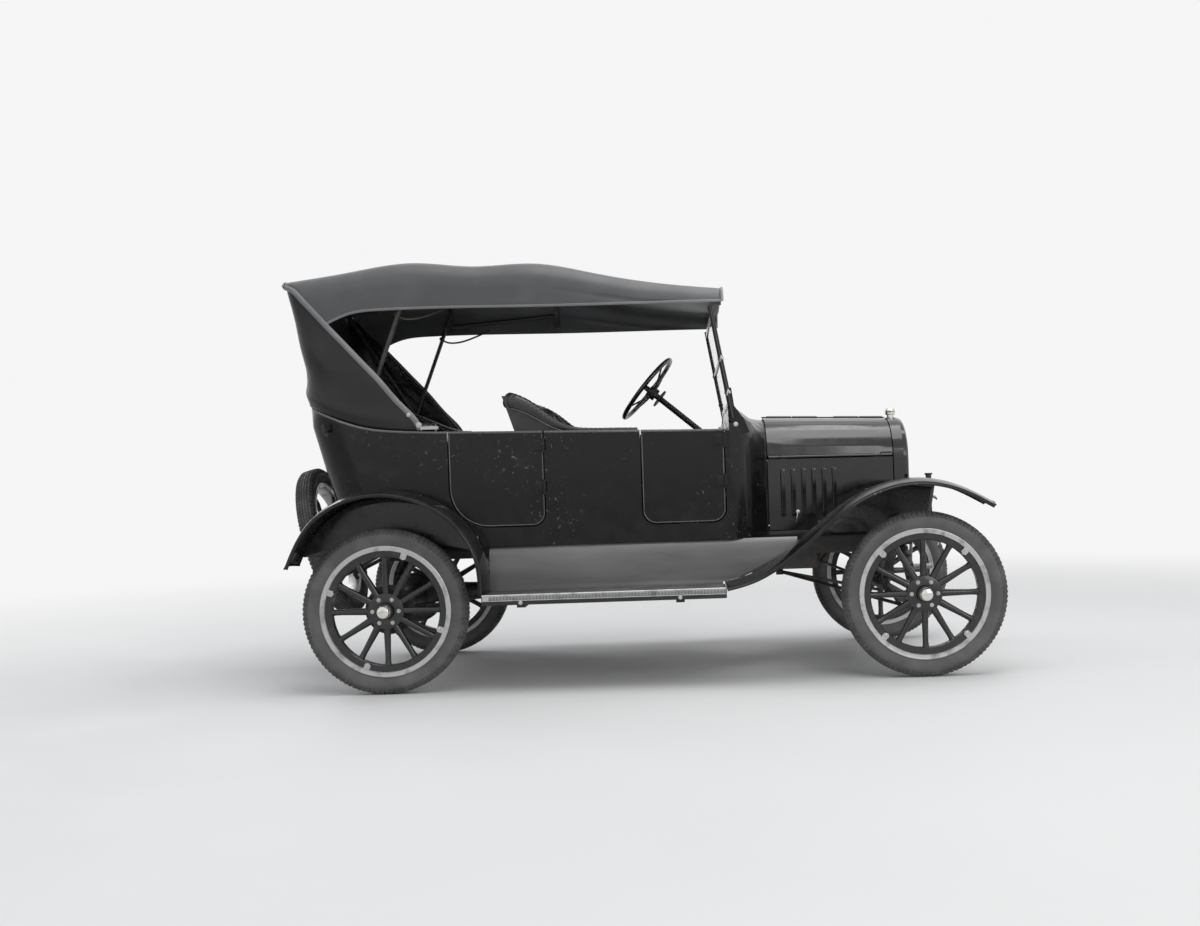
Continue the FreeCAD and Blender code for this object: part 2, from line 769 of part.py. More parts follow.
def door_shape(name):
    outline, side = doors[name]
    x = outline[1]
    up = Vector(0, 0, 1)
    door = body_wall.common(door_prism(*outline, move_gap / 2, side))
    pieces = [door]
    for z in hinge_heights:
        low = z - hinge_length / 2
        top = low + hinge_length
        pieces.append(Part.makeCylinder(hinge_radius, hinge_length, Vector(x, side * hinge_out, low), up))
        leaf = block(x - 44, x, side * (hinge_out + 2), side * (half_at(z) - 3), low, top)
        room = block(x - move_gap, x + 20, side * (hinge_out - hinge_radius), side * 500, low, top)
        pieces.append(leaf.cut(room))
    door = fuse(pieces)
    for z in hinge_heights:
        bore = Part.makeCylinder(hinge_pin + running_fit, 200, Vector(x, side * hinge_out, z - 100), up)
        door = door.cut(bore)
    return door


body_wall = tub_solid(0).cut(tub_solid(wall)).cut(belt_cutter(0))


def body_shell_shape():
    shell = body_wall
    for outline, side in doors.values():
        shell = shell.cut(door_prism(*outline, -move_gap / 2, side))
    cowl = cowl_solid(0).cut(cowl_solid(cowl_wall))
    cowl = cowl.common(block(cowl_start, firewall_front - firewall_thick, -800, 800, 600, 1500))
    pieces = [shell, cowl]
    for outline, side in doors.values():
        pieces.extend(door_hinge_body(outline[1], side))
    shell = fuse(pieces)
    # The false door on the left front is only pressed into the panel
    outer = door_prism(*front_door, 0, 1)
    inner = door_prism(*front_door, press_width, 1)
    press = outer.cut(inner).common(tub_solid(-2).cut(tub_solid(2.5)))
    return shell.cut(press)


def floor_shape():
    plate = tub_solid(wall + seat_gap).common(block(-1700, cowl_start, -700, 700, body_bottom, floor_top))
    cowl_floor = cowl_solid(cowl_wall + seat_gap)
    front_plate = cowl_floor.common(block(cowl_start, firewall_front - firewall_thick - seat_gap, -700, 700, body_bottom, floor_top))
    toe = side_plate([(338, floor_top), (356, floor_top), (556, 866), (544, 878)], -700, 700)
    toe = toe.common(fuse([cowl_floor, block(300, cowl_start, -560, 560, 600, 1000)]))
    floor = fuse([plate, front_plate, toe])
    column_hole = rod(hub_point + column_dir * 500, hub_point + column_dir * 1100, column_tube + 2)
    return floor.cut(column_hole)


def firewall_shape():
    plate = cowl_solid(0).common(block(firewall_front - firewall_thick, firewall_front, -800, 800, 600, 1500))
    column_hole = rod(hub_point + column_dir * 500, hub_point + column_dir * 1100, column_tube + 2)
    return plate.cut(column_hole)


def panel_shape():
    # The instrument panel below the windshield
    plate = cowl_solid(cowl_wall + seat_gap).common(block(cowl_start + 4, cowl_start + 12, -800, 800, 1130, 1500))
    column_hole = rod(hub_point + column_dir * 400, hub_point + column_dir * 1100, column_tube + 2)
    plate = plate.cut(column_hole)
    gauge = Part.makeCylinder(34, 12, Vector(cowl_start - 8, 40, 1190), Vector(1, 0, 0))
    switch = Part.makeCylinder(24, 12, Vector(cowl_start - 8, -70, 1190), Vector(1, 0, 0))
    return fuse([plate, gauge, switch])


# Seats

def seat_base(rear, front, top, half, inside):
    box = block(rear, front, -half, half, floor_top, top)
    return box.cut(block(rear + seat_board, front - seat_board, -half + seat_board, half - seat_board, floor_top, top - inside))


front_back_lean = 0.33
front_back_foot = -548.0


def lean_x(z):
    return front_back_foot - front_back_lean * (z - front_seat_base_top)


def arm_line():
    # The curve of the front seat's arms, from the back's top down to the belt
    return [(-720, 1398), (-640, 1384), (-560, 1338), (-470, 1270), (-390, 1228), (-300, 1212), (-60, 1206)]


def arm_region(low_z, lift):
    points = [Vector(x, -900, z + lift) for x, z in arm_line()]
    corners = faceted(points, 12) + [Vector(-60, -900, low_z), Vector(-720, -900, low_z)]
    return Part.Face(closed(corners)).extrude(Vector(0, 1800, 0))


def front_shell_shape():
    half = body_half_low - wall - 2
    z0 = front_seat_base_top + seat_gap
    t = seat_board
    back = side_plate([(lean_x(z0), z0), (lean_x(z0) - t, z0), (lean_x(1396) - t, 1396), (lean_x(1396), 1396)], -half, half)
    wings = []
    for side in (-1, 1):
        wing = block(-720, -120, side * half, side * (half - t), z0, 1400)
        wing = wing.common(arm_region(z0, 0))
        keep = side_plate([(lean_x(z0) - t, z0), (lean_x(1396) - t, 1396), (0, 1396), (0, z0)], -900, 900)
        wings.append(wing.common(keep))
    return fuse([back] + wings)


def front_back_shape():
    half = body_half_low - wall - 2 - seat_board - seat_gap
    z0 = front_seat_base_top + cushion_thick + seat_gap
    t = 92.0
    top = 1400.0
    back = side_plate([(lean_x(z0) + seat_gap, z0), (lean_x(z0) + t, z0), (lean_x(top) + t * 0.8, top - 30), (lean_x(top) + 30, top + 6), (lean_x(top) + seat_gap, top)], -half, half)
    wings = []
    for side in (-1, 1):
        wing = block(-720, -124, side * half, side * (half - 62), z0, 1420)
        wing = wing.common(arm_region(z0, 22))
        keep = side_plate([(lean_x(z0) + seat_gap, z0), (lean_x(1420) + seat_gap, 1420), (0, 1420), (0, z0)], -900, 900)
        wings.append(wing.common(keep))
    return fuse([back] + wings)


def rear_back_shape():
    outer = tub_solid(wall + seat_gap)
    inner = tub_solid(wall + 104)
    z0 = rear_seat_base_top + cushion_thick + seat_gap
    keep = side_plate([(-1800, z0), (-1090, z0), (-1090, 1250), (-1800, 1560)], -900, 900)
    return outer.cut(inner).common(keep).cut(belt_cutter(4))


def rear_shelf_shape():
    base = tub_solid(wall + seat_gap).common(block(-1700, rear_seat_base_front, -700, 700, floor_top, rear_seat_base_top))
    hollow = tub_solid(wall + seat_gap + seat_board).common(block(-1700, rear_seat_base_front - seat_board, -700, 700, floor_top, rear_seat_base_top - seat_board))
    return base.cut(hollow)


def cushion(rear, front, low, half):
    pad = block(rear, front, -half, half, low + seat_gap, low + cushion_thick)
    edges = [e for e in pad.Edges if e.BoundBox.ZMin > low + cushion_thick - 1]
    return pad.makeFillet(30, edges)


# Controls

def toe_height(x):
    return floor_top + (x - 338.0) * (878.0 - floor_top) / (544.0 - 338.0)


def controls_shape(floor):
    pieces = []
    for x, y in ((404.0, 400.0), (412.0, 330.0), (404.0, 240.0)):
        foot = Vector(x + 40, y, toe_height(x + 40) - 6)
        pad = Vector(x - 20, y, foot.z + 86)
        way = pad - foot
        way.normalize()
        pieces.append(fuse([bar([foot, pad], 7, 6), rod(pad - way * 4, pad + way * 8, 30)]))
    foot = Vector(160.0, 500.0, floor_top - 4)
    knob = Vector(64.0, 500.0, 1010.0)
    quadrant = block(120, 230, 494, 506, floor_top, floor_top + 60)
    pieces.append(fuse([bar([foot, knob], 8), rod(knob - Vector(0, 0, 14), knob + Vector(0, 0, 14), 15), quadrant]))
    return group([piece.cut(floor) for piece in pieces])


# Hood and radiator

def hood_half_section(x, inset):
    # The top panel's curve, from the middle to the side hinge, as (y, z) on the right
    share = (x - hood_rear) / (hood_front - hood_rear)
    half = hood_rear_half + (hood_front_half - hood_rear_half) * share - inset
    top = hood_rear_top + (hood_front_top - hood_rear_top) * share - inset
    side_z = hood_rear_side_z + (hood_front_side_z - hood_rear_side_z) * share
    drop = top - side_z
    return [
        Vector(x, 0, top), Vector(x, -half * 0.45, top - drop * 0.085),
        Vector(x, -half * 0.79, top - drop * 0.355), Vector(x, -half * 0.955, top - drop * 0.68),
        Vector(x, -half, side_z),
    ]


def hood_arch(x, inset, base_z):
    # A closed section of the whole hood, down to a level line
    half_points = hood_half_section(x, inset)
    right = half_points[::-1]
    left = [Vector(p.x, -p.y, p.z) for p in half_points[1:]]
    crown = faceted(right + left, 16)
    return closed([Vector(x, right[0].y, base_z)] + crown + [Vector(x, -right[0].y, base_z)])


def hood_solid(inset):
    return Part.makeLoft([hood_arch(hood_rear, inset, 600), hood_arch(hood_front, inset, 600)], True, True)


hood_skin = hood_solid(0).cut(hood_solid(hood_sheet))


def hood_line(x, part_name):
    share = (x - hood_rear) / (hood_front - hood_rear)
    if part_name == "centre":
        return Vector(x, 0, hood_rear_top + (hood_front_top - hood_rear_top) * share + 3)
    y = -(hood_rear_half + (hood_front_half - hood_rear_half) * share) - 2
    z = hood_rear_side_z + (hood_front_side_z - hood_rear_side_z) * share
    return Vector(x, y, z)


def hood_split(x0, x1, upper):
    # The slab above or below the side hinge line
    a = hood_line(hood_rear, "side")
    b = hood_line(hood_front, "side")
    gap = hood_barrel + 1.5
    if upper:
        points = [(x0, a.z + gap), (x1, b.z + gap), (x1, 1500), (x0, 1500)]
    else:
        points = [(x0, a.z - gap), (x1, b.z - gap), (x1, hood_bottom), (x0, hood_bottom)]
    return side_plate(points, -700, 0)


def hood_top_right_shape():
    skin = hood_skin.common(hood_split(hood_rear, hood_front, True))
    skin = skin.common(block(hood_rear, hood_front, -700, -(hood_barrel + 2), 600, 1500))
    pieces = [skin]
    for x0, x1 in ((hood_rear + 20, hood_rear + 150), (hood_front - 260, hood_front - 130)):
        start = hood_line(x0, "centre")
        end = hood_line(x1, "centre")
        pieces.append(rod(start, end, hood_barrel))
        pieces.append(block(x0, x1, -24, -2, start.z - 8, end.z + 1))
    for x0, x1 in ((hood_rear + 4, hood_rear + 60), (hood_front - 60, hood_front - 4)):
        start = hood_line(x0, "side")
        end = hood_line(x1, "side")
        pieces.append(rod(start, end, hood_barrel))
        pieces.append(block(x0, x1, start.y + 1, end.y + 5, start.z, start.z + 16))
    pieces.append(rod(hood_line(hood_rear + 40, "side"), hood_line(hood_front - 40, "side"), hinge_pin))
    top = fuse(pieces)
    bore = rod(hood_line(hood_rear - 20, "centre"), hood_line(hood_front + 20, "centre"), hood_hinge_rod + running_fit)
    return top.cut(bore)


def hood_top_left_shape():
    skin = hood_skin.common(hood_split(hood_rear, hood_front, True))
    skin = skin.common(block(hood_rear, hood_front, -700, -(hood_barrel + 2), 600, 1500))
    pieces = [skin]
    for x0, x1 in ((hood_rear + 156, hood_rear + 286), (hood_front - 124, hood_front - 4)):
        start = hood_line(x0, "centre")
        end = hood_line(x1, "centre")
        pieces.append(rod(start, end, hood_barrel))
        pieces.append(block(x0, x1, -24, -2, start.z - 8, end.z + 1))
    for x0, x1 in ((hood_rear + 4, hood_rear + 60), (hood_front - 60, hood_front - 4)):
        start = hood_line(x0, "side")
        end = hood_line(x1, "side")
        pieces.append(rod(start, end, hood_barrel))
        pieces.append(block(x0, x1, start.y + 1, end.y + 5, start.z, start.z + 16))
    pieces.append(rod(hood_line(hood_rear + 40, "side"), hood_line(hood_front - 40, "side"), hinge_pin))
    top = fuse(pieces)
    bore = rod(hood_line(hood_rear - 20, "centre"), hood_line(hood_front + 20, "centre"), hood_hinge_rod + running_fit)
    return mirrored(top.cut(bore))


def louvre(x, y):
    # A raised slat that is open towards the rear
    wedge = [Vector(x - 16, y + 1, 0), Vector(x + 10, y + 1, 0), Vector(x - 12, y - louvre_rise - 2, 0)]
    wires = []
    for z, share in ((louvre_low - 10, 0.2), (louvre_low, 1.0), (louvre_high, 1.0), (louvre_high + 10, 0.2)):
        foot = y + 1
        wires.append(closed([Vector(p.x, foot + (p.y - foot) * share, z) for p in wedge]))
    return Part.makeLoft(wires, True, True)


def hood_side_shape():
    skin = hood_skin.common(hood_split(hood_rear, hood_front, False))
    pieces = [skin]
    x0 = hood_rear + 66
    x1 = hood_front - 66
    start = hood_line(x0, "side")
    end = hood_line(x1, "side")
    pieces.append(rod(start, end, hood_barrel))
    leaf = cross_plate([(start.y + 1, start.z), (start.y + 6, start.z), (start.y + 6, start.z - 16), (start.y + 1, start.z - 16)], x0, x0 + 30)
    pieces.append(leaf)
    leaf_end = cross_plate([(end.y + 1, end.z), (end.y + 6, end.z), (end.y + 6, end.z - 16), (end.y + 1, end.z - 16)], x1 - 30, x1)
    pieces.append(leaf_end)
    for number in range(louvre_count):
        x = louvre_first + number * louvre_pitch
        y = hood_line(x, "side").y + 2
        pieces.append(louvre(x, y))
    side = fuse(pieces)
    side = side.cut(rod(hood_line(hood_rear - 20, "side"), hood_line(hood_front + 20, "side"), hinge_pin + running_fit))
    return side


def radiator_outline(x, inset, low):
    half = hood_front_half + 2 - inset
    top = hood_front_top + 2 - inset
    side_z = hood_front_side_z - 20
    drop = top - side_z
    right = [
        Vector(x, -half, side_z), Vector(x, -half * 0.955, top - drop * 0.66),
        Vector(x, -half * 0.79, top - drop * 0.34), Vector(x, -half * 0.45, top - drop * 0.085),
    ]
    left = [Vector(p.x, -p.y, p.z) for p in right[::-1]]
    crown = faceted(right + [Vector(x, 0, top)] + left, 16)
    return closed([Vector(x, -half, low)] + crown + [Vector(x, half, low)])


def radiator_shell_shape():
    low = radiator_bottom
    body = Part.makeLoft([
        radiator_outline(radiator_back, 0, low), radiator_outline(radiator_front - 26, 0, low),
    ], True, True)
    nose = Part.makeLoft([
        radiator_outline(radiator_front - 26, 0, low), radiator_outline(radiator_front - 8, 5, low),
        radiator_outline(radiator_front, 16, low),
    ], True, True)
    shell = fuse([body, nose])
    t = radiator_wall
    cavity = Part.makeLoft([
        radiator_outline(radiator_back, t, low + t), radiator_outline(radiator_front - 26, t, low + t),
    ], True, True)
    window = Part.makeLoft([
        radiator_outline(radiator_front - 30, 46, low + 60), radiator_outline(radiator_front + 5, 40, low + 54),
    ], True, True)
    neck_hole = Part.makeCylinder(20, 80, Vector(cap_x, 0, hood_front_top - 40), Vector(0, 0, 1))
    return shell.cut(cavity).cut(window).cut(neck_hole)


def radiator_core_shape():
    t = radiator_wall + seat_gap
    low = radiator_bottom
    x0 = radiator_back + 8
    x1 = radiator_front - 26 - seat_gap
    core = Part.makeLoft([radiator_outline(x0, t, low + t), radiator_outline(x1, t, low + t)], True, True)
    grooves = []
    count = 28
    half = hood_front_half - 48
    for number in range(count):
        y = -half + (number + 0.5) * 2 * half / count
        grooves.append(block(x1 - 6, x1 + 2, y - 3.2, y + 3.2, low + 66, hood_front_top - 110))
    return core.cut(Part.makeCompound(grooves))


def radiator_cap_shape():
    up = Vector(0, 0, 1)
    z = hood_front_top - 6
    pieces = [Part.makeCylinder(20 - seat_gap, 24 + radiator_wall - 2, Vector(cap_x, 0, z + 2), up)]
    pieces.append(Part.makeCylinder(27, 12, Vector(cap_x, 0, z + 24), up))
    pieces.append(Part.makeCone(30, 24, 20, Vector(cap_x, 0, z + 36), up))
    for number in range(6):
        angle = 2 * math.pi * number / 6
        lug = Part.makeBox(12, 11, 14, Vector(23, -5.5, z + 38))
        lug.rotate(Vector(0, 0, 0), up, math.degrees(angle))
        lug.translate(Vector(cap_x, 0, 0))
        pieces.append(lug)
    return fuse(pieces)


def hood_rod_shape():
    start = hood_line(firewall_front, "centre")
    end = hood_line(radiator_back, "centre")
    return rod(start, end, hood_hinge_rod)


def hood_shelf_shape():
    shelf = side_plate([(firewall_front, rail_top), (radiator_back, rail_top), (radiator_back, hood_bottom - move_gap), (firewall_front, hood_bottom - move_gap)], -shelf_outer, -shelf_inner)
    return shelf


# Windshield

def screen_place(shape):
    shape = shape.copy()
    shape.rotate(Vector(0, 0, 0), Vector(0, 1, 0), -screen_lean)
    shape.translate(Vector(screen_foot_x, 0, screen_foot_z))
    return shape


def windshield_frame_shape():
    b = screen_bar
    pieces = []
    for side in (-1, 1):
        pieces.append(block(-b / 2, b / 2, side * screen_half - b / 2, side * screen_half + b / 2, -70, screen_height))
    for low in (0, screen_split - b / 2 - 1, screen_height - b):
        pieces.append(block(-b / 2, b / 2, -screen_half, screen_half, low, low + b))
    frame = screen_place(fuse(pieces))
    gussets = []
    for side in (-1, 1):
        points = [(384, 1400), (372, 1180), (480, 1180), (452, 1250), (408, 1312), (396, 1400)]
        gussets.append(side_plate(points, side * (screen_half + 5), side * (screen_half - 5)))
    whole = fuse([frame] + gussets)
    return whole.cut(cowl_solid(-seat_gap)).cut(block(300, cowl_start + seat_gap, -700, 700, 1100, 1260))


def glass_shape():
    b = screen_bar
    half = screen_half - b / 2
    t = glass_thick / 2
    lower = block(-t, t, -half, half, b, screen_split - b / 2 - 1)
    upper = block(-t, t, -half, half, screen_split + b / 2 - 1, screen_height - b)
    return group([screen_place(lower), screen_place(upper)])


# Fenders, aprons and running boards

def fender_spots(path):
    return faceted([Vector(x, 0, z) for x, z in path], fender_steps)


def fender_strip(path, inner, outer):
    # The crowned sheet, as flat panels between stations that stand square to the path
    spots = fender_spots(path)
    turn = -1 if path[0][0] > path[-1][0] else 1
    quarter = (outer - inner) / 4
    c = fender_crown
    t = fender_sheet
    section = [
        (inner, 0), (inner + quarter, 0.75 * c), (inner + 2 * quarter, c), (outer - quarter, 0.75 * c), (outer, 0),
        (outer, -fender_lip), (outer - t, -fender_lip), (outer - t, -0.6 * t), (outer - quarter, 0.75 * c - t),
        (inner + 2 * quarter, c - t), (inner + quarter, 0.75 * c - t), (inner, -t),
    ]
    wires = []
    for number, spot in enumerate(spots):
        way = spots[min(number + 1, fender_steps)] - spots[max(number - 1, 0)]
        way.normalize()
        up = Vector(-way.z, 0, way.x) * turn
        wires.append(closed([spot + up * rise - Vector(0, out, 0) for out, rise in section]))
    return Part.makeLoft(wires, True, True)


front_path = [
    (fender_tip_x, 802.0), (1435.0, 883.0), (1230.0, 921.0), (981.0, 855.0), (800.0, 730.0), (641.0, 598.0),
    (449.0, 487.0), (board_front + seat_gap, board_top),
]
rear_path = [
    (-1709.0, 613.0), (-1600.0, 808.0), (-1410.0, 926.0), (-1240.0, 945.0), (-1011.0, 874.0), (-872.0, 749.0),
    (-812.0, 620.0), (board_rear + 4.0, board_top + 3 * seat_gap),
]


def front_fender_shape():
    strip = fender_strip(front_path, front_fender_inner, half_width)
    wires = []
    shelf_out = shelf_outer + seat_gap
    for spot in fender_spots(front_path):
        if not apron_rear < spot.x < apron_front:
            continue
        low = rail_top - 10
        points = [
            Vector(spot.x, -(front_fender_inner + 2), spot.z - 1), Vector(spot.x, -(front_fender_inner + 2), spot.z - 5),
            Vector(spot.x, -shelf_out, low), Vector(spot.x, -shelf_out, low + 5),
        ]
        wires.append(closed(points))
    apron = Part.makeLoft(wires, True, True)
    return fuse([strip, apron])


def rear_fender_shape():
    strip = fender_strip(rear_path, rear_fender_inner, half_width)
    corners = [Vector(spot.x, -rear_fender_inner, spot.z - 1) for spot in fender_spots(rear_path)]
    skirt = Part.Face(closed(corners)).extrude(Vector(0, -fender_sheet, 0))
    skirt = skirt.cut(block(-2000, 0, -900, -500, 300, 650))
    return fuse([strip, skirt])


def running_board_shape():
    top = block(board_rear, board_front, -half_width, -board_inner, board_top - board_depth, board_top)
    hollow = block(board_rear + 4, board_front - 4, -half_width + 4, -board_inner - 4, board_top - board_depth, board_top - 5)
    return top.cut(hollow)


def splash_apron_shape():
    t = apron_sheet
    x0 = board_rear + 10
    x1 = 690.0
    section = [
        (-(board_inner - seat_gap), board_top - 30), (-(board_inner - seat_gap), board_top + 6),
        (-(board_inner - 8), board_top + 26), (-(board_inner - 10), body_bottom - 50), (-(body_half_low - 8), body_bottom - 12),
        (-(body_half_low - 20), body_bottom - seat_gap), (-(body_half_low - 20 - t), body_bottom - seat_gap),
        (-(body_half_low - 8 - t), body_bottom - 14), (-(board_inner - 10 - t), body_bottom - 50),
        (-(board_inner - 8 - t), board_top + 26), (-(board_inner - t - 1), board_top + 8), (-(board_inner - t - seat_gap), board_top - 30),
    ]
    panel = cross_plate(section, x0, x1)
    # Its front end follows the underside of the front fender
    points = [Vector(spot.x, -900, spot.z + 12) for spot in fender_spots(front_path) if spot.x < 1000]
    points.append(points[-1] - Vector(10, 0, 0))
    points += [Vector(points[-1].x, -900, 300), Vector(points[0].x, -900, 300)]
    return panel.cut(Part.Face(closed(points)).extrude(Vector(0, 800, 0)))


# Top

# Heights of the roof's crest and of its rounded edge, at even steps from front to rear.
# The second-last four stand on or between the two bows.
roof_crests = (1888.0, 1940.0, 2006.0, 2070.0, 2066.0, 2092.0, 2050.0, 1998.0)
roof_edges = (1850.0, 1868.0, 1912.0, 1958.0, 1960.0, 1980.0, 1956.0, 1930.0)


def roof_wire(x, crest, side_z, inset):
    half = top_half - inset
    top = crest - inset
    z = side_z - 30
    right = [
        Vector(x, -half, z), Vector(x, -half + 22, side_z + (top - side_z) * 0.42), Vector(x, -half * 0.72, side_z + (top - side_z) * 0.82),
    ]
    left = [Vector(p.x, -p.y, p.z) for p in right[::-1]]
    crown = faceted(right + [Vector(x, 0, top)] + left, 12)
    return closed([Vector(x, -half, 1700.0)] + crown + [Vector(x, half, 1700.0)])


def roof_solid(inset):
    wires = []
    steps = len(roof_crests) - 1
    for number in range(steps + 1):
        x = roof_front + (roof_rear - roof_front) * number / steps
        wires.append(roof_wire(x, roof_crests[number], roof_edges[number], inset))
    return Part.makeLoft(wires, True, True)


def top_cover_shape():
    shell = roof_solid(0).cut(roof_solid(top_sheet))
    points = [
        Vector(500, -900, 1812), Vector(300, -900, 1815), Vector(-517, -900, 1819), Vector(-1284, -900, 1825),
        Vector(-1436, -900, 1809), Vector(-1547, -900, 1763),
    ]
    corners = faceted(points, 12) + [Vector(-1712, -900, 1951), Vector(-1900, -900, 1951)]
    corners += [Vector(-1900, -900, 1600), Vector(500, -900, 1600)]
    return shell.cut(Part.Face(closed(corners)).extrude(Vector(0, 1800, 0)))


curtain_corner_steps = 5
curtain_levels = (
    # z, back, half width, corner radius
    (1180.0, -1662.0, 602.0, 180.0),
    (1400.0, -1672.0, 601.0, 170.0),
    (1560.0, -1682.0, 598.0, 140.0),
    (1720.0, -1706.0, 592.0, 100.0),
    (1950.0, -1748.0, 582.0, 60.0),
    (2020.0, -1754.0, 579.0, 50.0),
)


def curtain_outline(z, back, half, corner):
    front = -1000.0
    right = []
    for number in range(curtain_corner_steps + 1):
        angle = math.pi / 2 * number / curtain_corner_steps
        x = back + corner * (1 - math.cos(angle))
        right.append(Vector(x, -(half - corner + corner * math.sin(angle)), z))
    left = [Vector(p.x, -p.y, p.z) for p in right[::-1]]
    return closed(right + [Vector(front, -half, z), Vector(front, half, z)] + left)


def curtain_solid(inset):
    wires = []
    for z, back, half, corner in curtain_levels:
        wires.append(curtain_outline(z, back + inset, half - inset, corner - inset))
    return Part.makeLoft(wires, True, True)


def rear_curtain_shape():
    wall_piece = curtain_solid(0).cut(curtain_solid(top_sheet))
    keep = side_plate([(-1900, 1200), (-1106, 1200), (-1106, 1256), (-1300, 1491), (-1547, 1763), (-1712, 1951), (-1900, 1951)], -900, 900)
    piece = wall_piece.common(keep).common(belt_cutter(-seat_gap))
    # The back goes on up inside the roof, to its crown
    head = wall_piece.common(block(-1900, -1712, -700, 700, 1950, 2020)).common(roof_solid(top_sheet + seat_gap))
    piece = fuse([piece, head])
    window = block(-1900, -1500, -250, 250, 1580, 1730)
    return piece.cut(window)


def rear_window_shape():
    piece = curtain_solid(2).cut(curtain_solid(5)).common(block(-1900, -1500, -250, 250, 1580, 1730))
    return piece


def bow_crown(x, reach):
    # The bent wood of a bow, just under the cloth, as wide as it reaches to each side
    inset = top_sheet + seat_gap
    bar = roof_solid(inset).cut(roof_solid(inset + 2 * bow_radius))
    return bar.common(block(x - bow_radius, x + bow_radius, -reach, reach, 1850, 2200))


def bow_shape(x, reach, leg_top_z, foot):
    # A bow's crown and its two straight legs, which end in the rests or on another leg
    out = min(reach, top_half - top_sheet - seat_gap) - bow_radius
    start = Vector(x, -out, leg_top_z)
    leg = bar([start, foot], bow_radius)
    return [bow_crown(x, reach)] + both(leg)


def top_bows_shape():
    out = top_half - top_sheet - seat_gap - bow_radius
    step = (roof_rear - roof_front) / (len(roof_crests) - 1)
    foot_y = -out + 6
    main_foot = Vector(-1392, foot_y, body_socket_z)
    main_top = Vector(roof_front + 5 * step, -out, 1936)
    main = bow_shape(main_top.x, top_half, main_top.z, main_foot)
    front = bow_shape(roof_front + 3 * step, top_half, 1916, Vector(-1190, foot_y, 1866))
    rear = bow_shape(roof_rear + 40, 546, 1926, main_foot + (main_top - main_foot) * 0.11)
    brackets = block(-1420, -1372, -out + 14, -out - 18, 1230, body_socket_z + 8)
    brackets = brackets.common(belt_cutter(-seat_gap))
    header = roof_solid(top_sheet + seat_gap).cut(roof_solid(top_sheet + seat_gap + 22))
    header = header.common(block(roof_front - 44, roof_front - 4, -700, 700, 1800, 2000))
    return group([fuse(main + front + rear + both(brackets)), header])


# Spare tyre and its carrier

def lean_back(shape):
    shape = shape.copy()
    shape.rotate(Vector(0, 0, 0), Vector(0, 0, 1), -90)
    shape.rotate(Vector(0, 0, 0), Vector(0, 1, 0), -spare_lean)
    shape.translate(Vector(spare_x, 0, spare_z))
    return shape


def spare_carrier_shape():
    pieces = []
    up = Vector(math.sin(math.radians(-spare_lean)), 0, math.cos(math.radians(spare_lean)))
    centre = Vector(spare_x, 0, spare_z)
    ring_radius = rim_radius - rim_depth - 14
    offset = up.cross(Vector(0, 1, 0)) * -20
    tube = 11.0
    for side in (-1, 1):
        foot = Vector(rail_rear - seat_gap, side * 240, rail_top - 34)
        knee = foot - Vector(50, 0, 0)
        low = centre + offset + Vector(0, side * 150, 0) - up * (ring_radius * 0.72)
        high = centre + offset + Vector(0, side * 150, 0) + up * (ring_radius * 0.72)
        pieces.append(bar([foot, knee, low, high], tube))
        for share in (0.12, 0.88):
            point = low + (high - low) * share
            if side < 0:
                pieces.append(bar([point, point - Vector(0, 2 * point.y, 0)], tube - 2))
        for point in (low, high):
            arm = point - centre - offset
            arm.normalize()
            pieces.append(bar([point, centre + offset + arm * (rim_radius - rim_depth - 1)], tube))
    return fuse(pieces)


# Build everything

os.makedirs("parts", exist_ok=True)

tyre = tyre_shape()
rear_wheel = wheel_shape(-20.0)
front_wheel = wheel_shape(45.0)
for axle, x, wheel in (("front", front_x, front_wheel), ("rear", rear_x, rear_wheel)):
    for side_name, side in (("right", -1), ("left", 1)):
        save("wheel_" + axle + "_" + side_name, place_wheel(wheel, x, side))
        save("tyre_" + axle + "_" + side_name, place_wheel(tyre, x, side))

rods = radius_rods(Vector(640, 0, engine_low - 18 - seat_gap), Vector(front_x - 22, 470, 300), 9)
save("front_axle", fuse([front_axle_shape(), rods]))
save("knuckle_right", knuckle_shape(-1))
save("knuckle_left", knuckle_shape(1))
save("tie_rod", tie_rod_shape())
save("drag_link", drag_link_shape())
save("pitman_arm", pitman_shape())
save("steering_wheel", steering_wheel_shape())
save("steering_column", steering_column_shape())
save("chassis_frame", chassis_shape())
front_spring = arched_spring(front_x, *front_spring_sizes)
rear_spring = arched_spring(rear_x, *rear_spring_sizes)
save("leaf_springs", group([front_spring, rear_spring]))
save("rear_axle", rear_axle_shape())
save("engine_block", engine_shape())
save("exhaust", exhaust_shape())
save("starting_crank", crank_shape())
tank_centre = Vector(-345, -280, floor_top + tank_radius + seat_gap)
save("fuel_tank", Part.makeCylinder(tank_radius, 560, tank_centre, Vector(0, 1, 0)))
save("body_shell", body_shell_shape())
for name in doors:
    save(name, door_shape(name))
floor = floor_shape()
save("floor_boards", floor)
save("pedals_and_levers", controls_shape(floor))
save("firewall", firewall_shape())
save("instrument_panel", panel_shape())
front_base = seat_base(front_seat_base_rear, front_seat_base_front, front_seat_base_top, 556.0, seat_board)
save("seat_bases", group([front_base, rear_shelf_shape()]))
save("front_seat_shell", front_shell_shape())
save("seat_backs", group([front_back_shape(), rear_back_shape()]))
front_cushion = cushion(front_seat_base_rear + 20, front_seat_base_front + 20, front_seat_base_top, 552.0)
rear_cushion = cushion(-1440.0, rear_seat_base_front + 20, rear_seat_base_top, 470.0)
save("seat_cushions", group([front_cushion, rear_cushion]))
save("hood_top_right", hood_top_right_shape())
save("hood_top_left", hood_top_left_shape())
right_side = hood_side_shape()
save("hood_side_right", right_side)
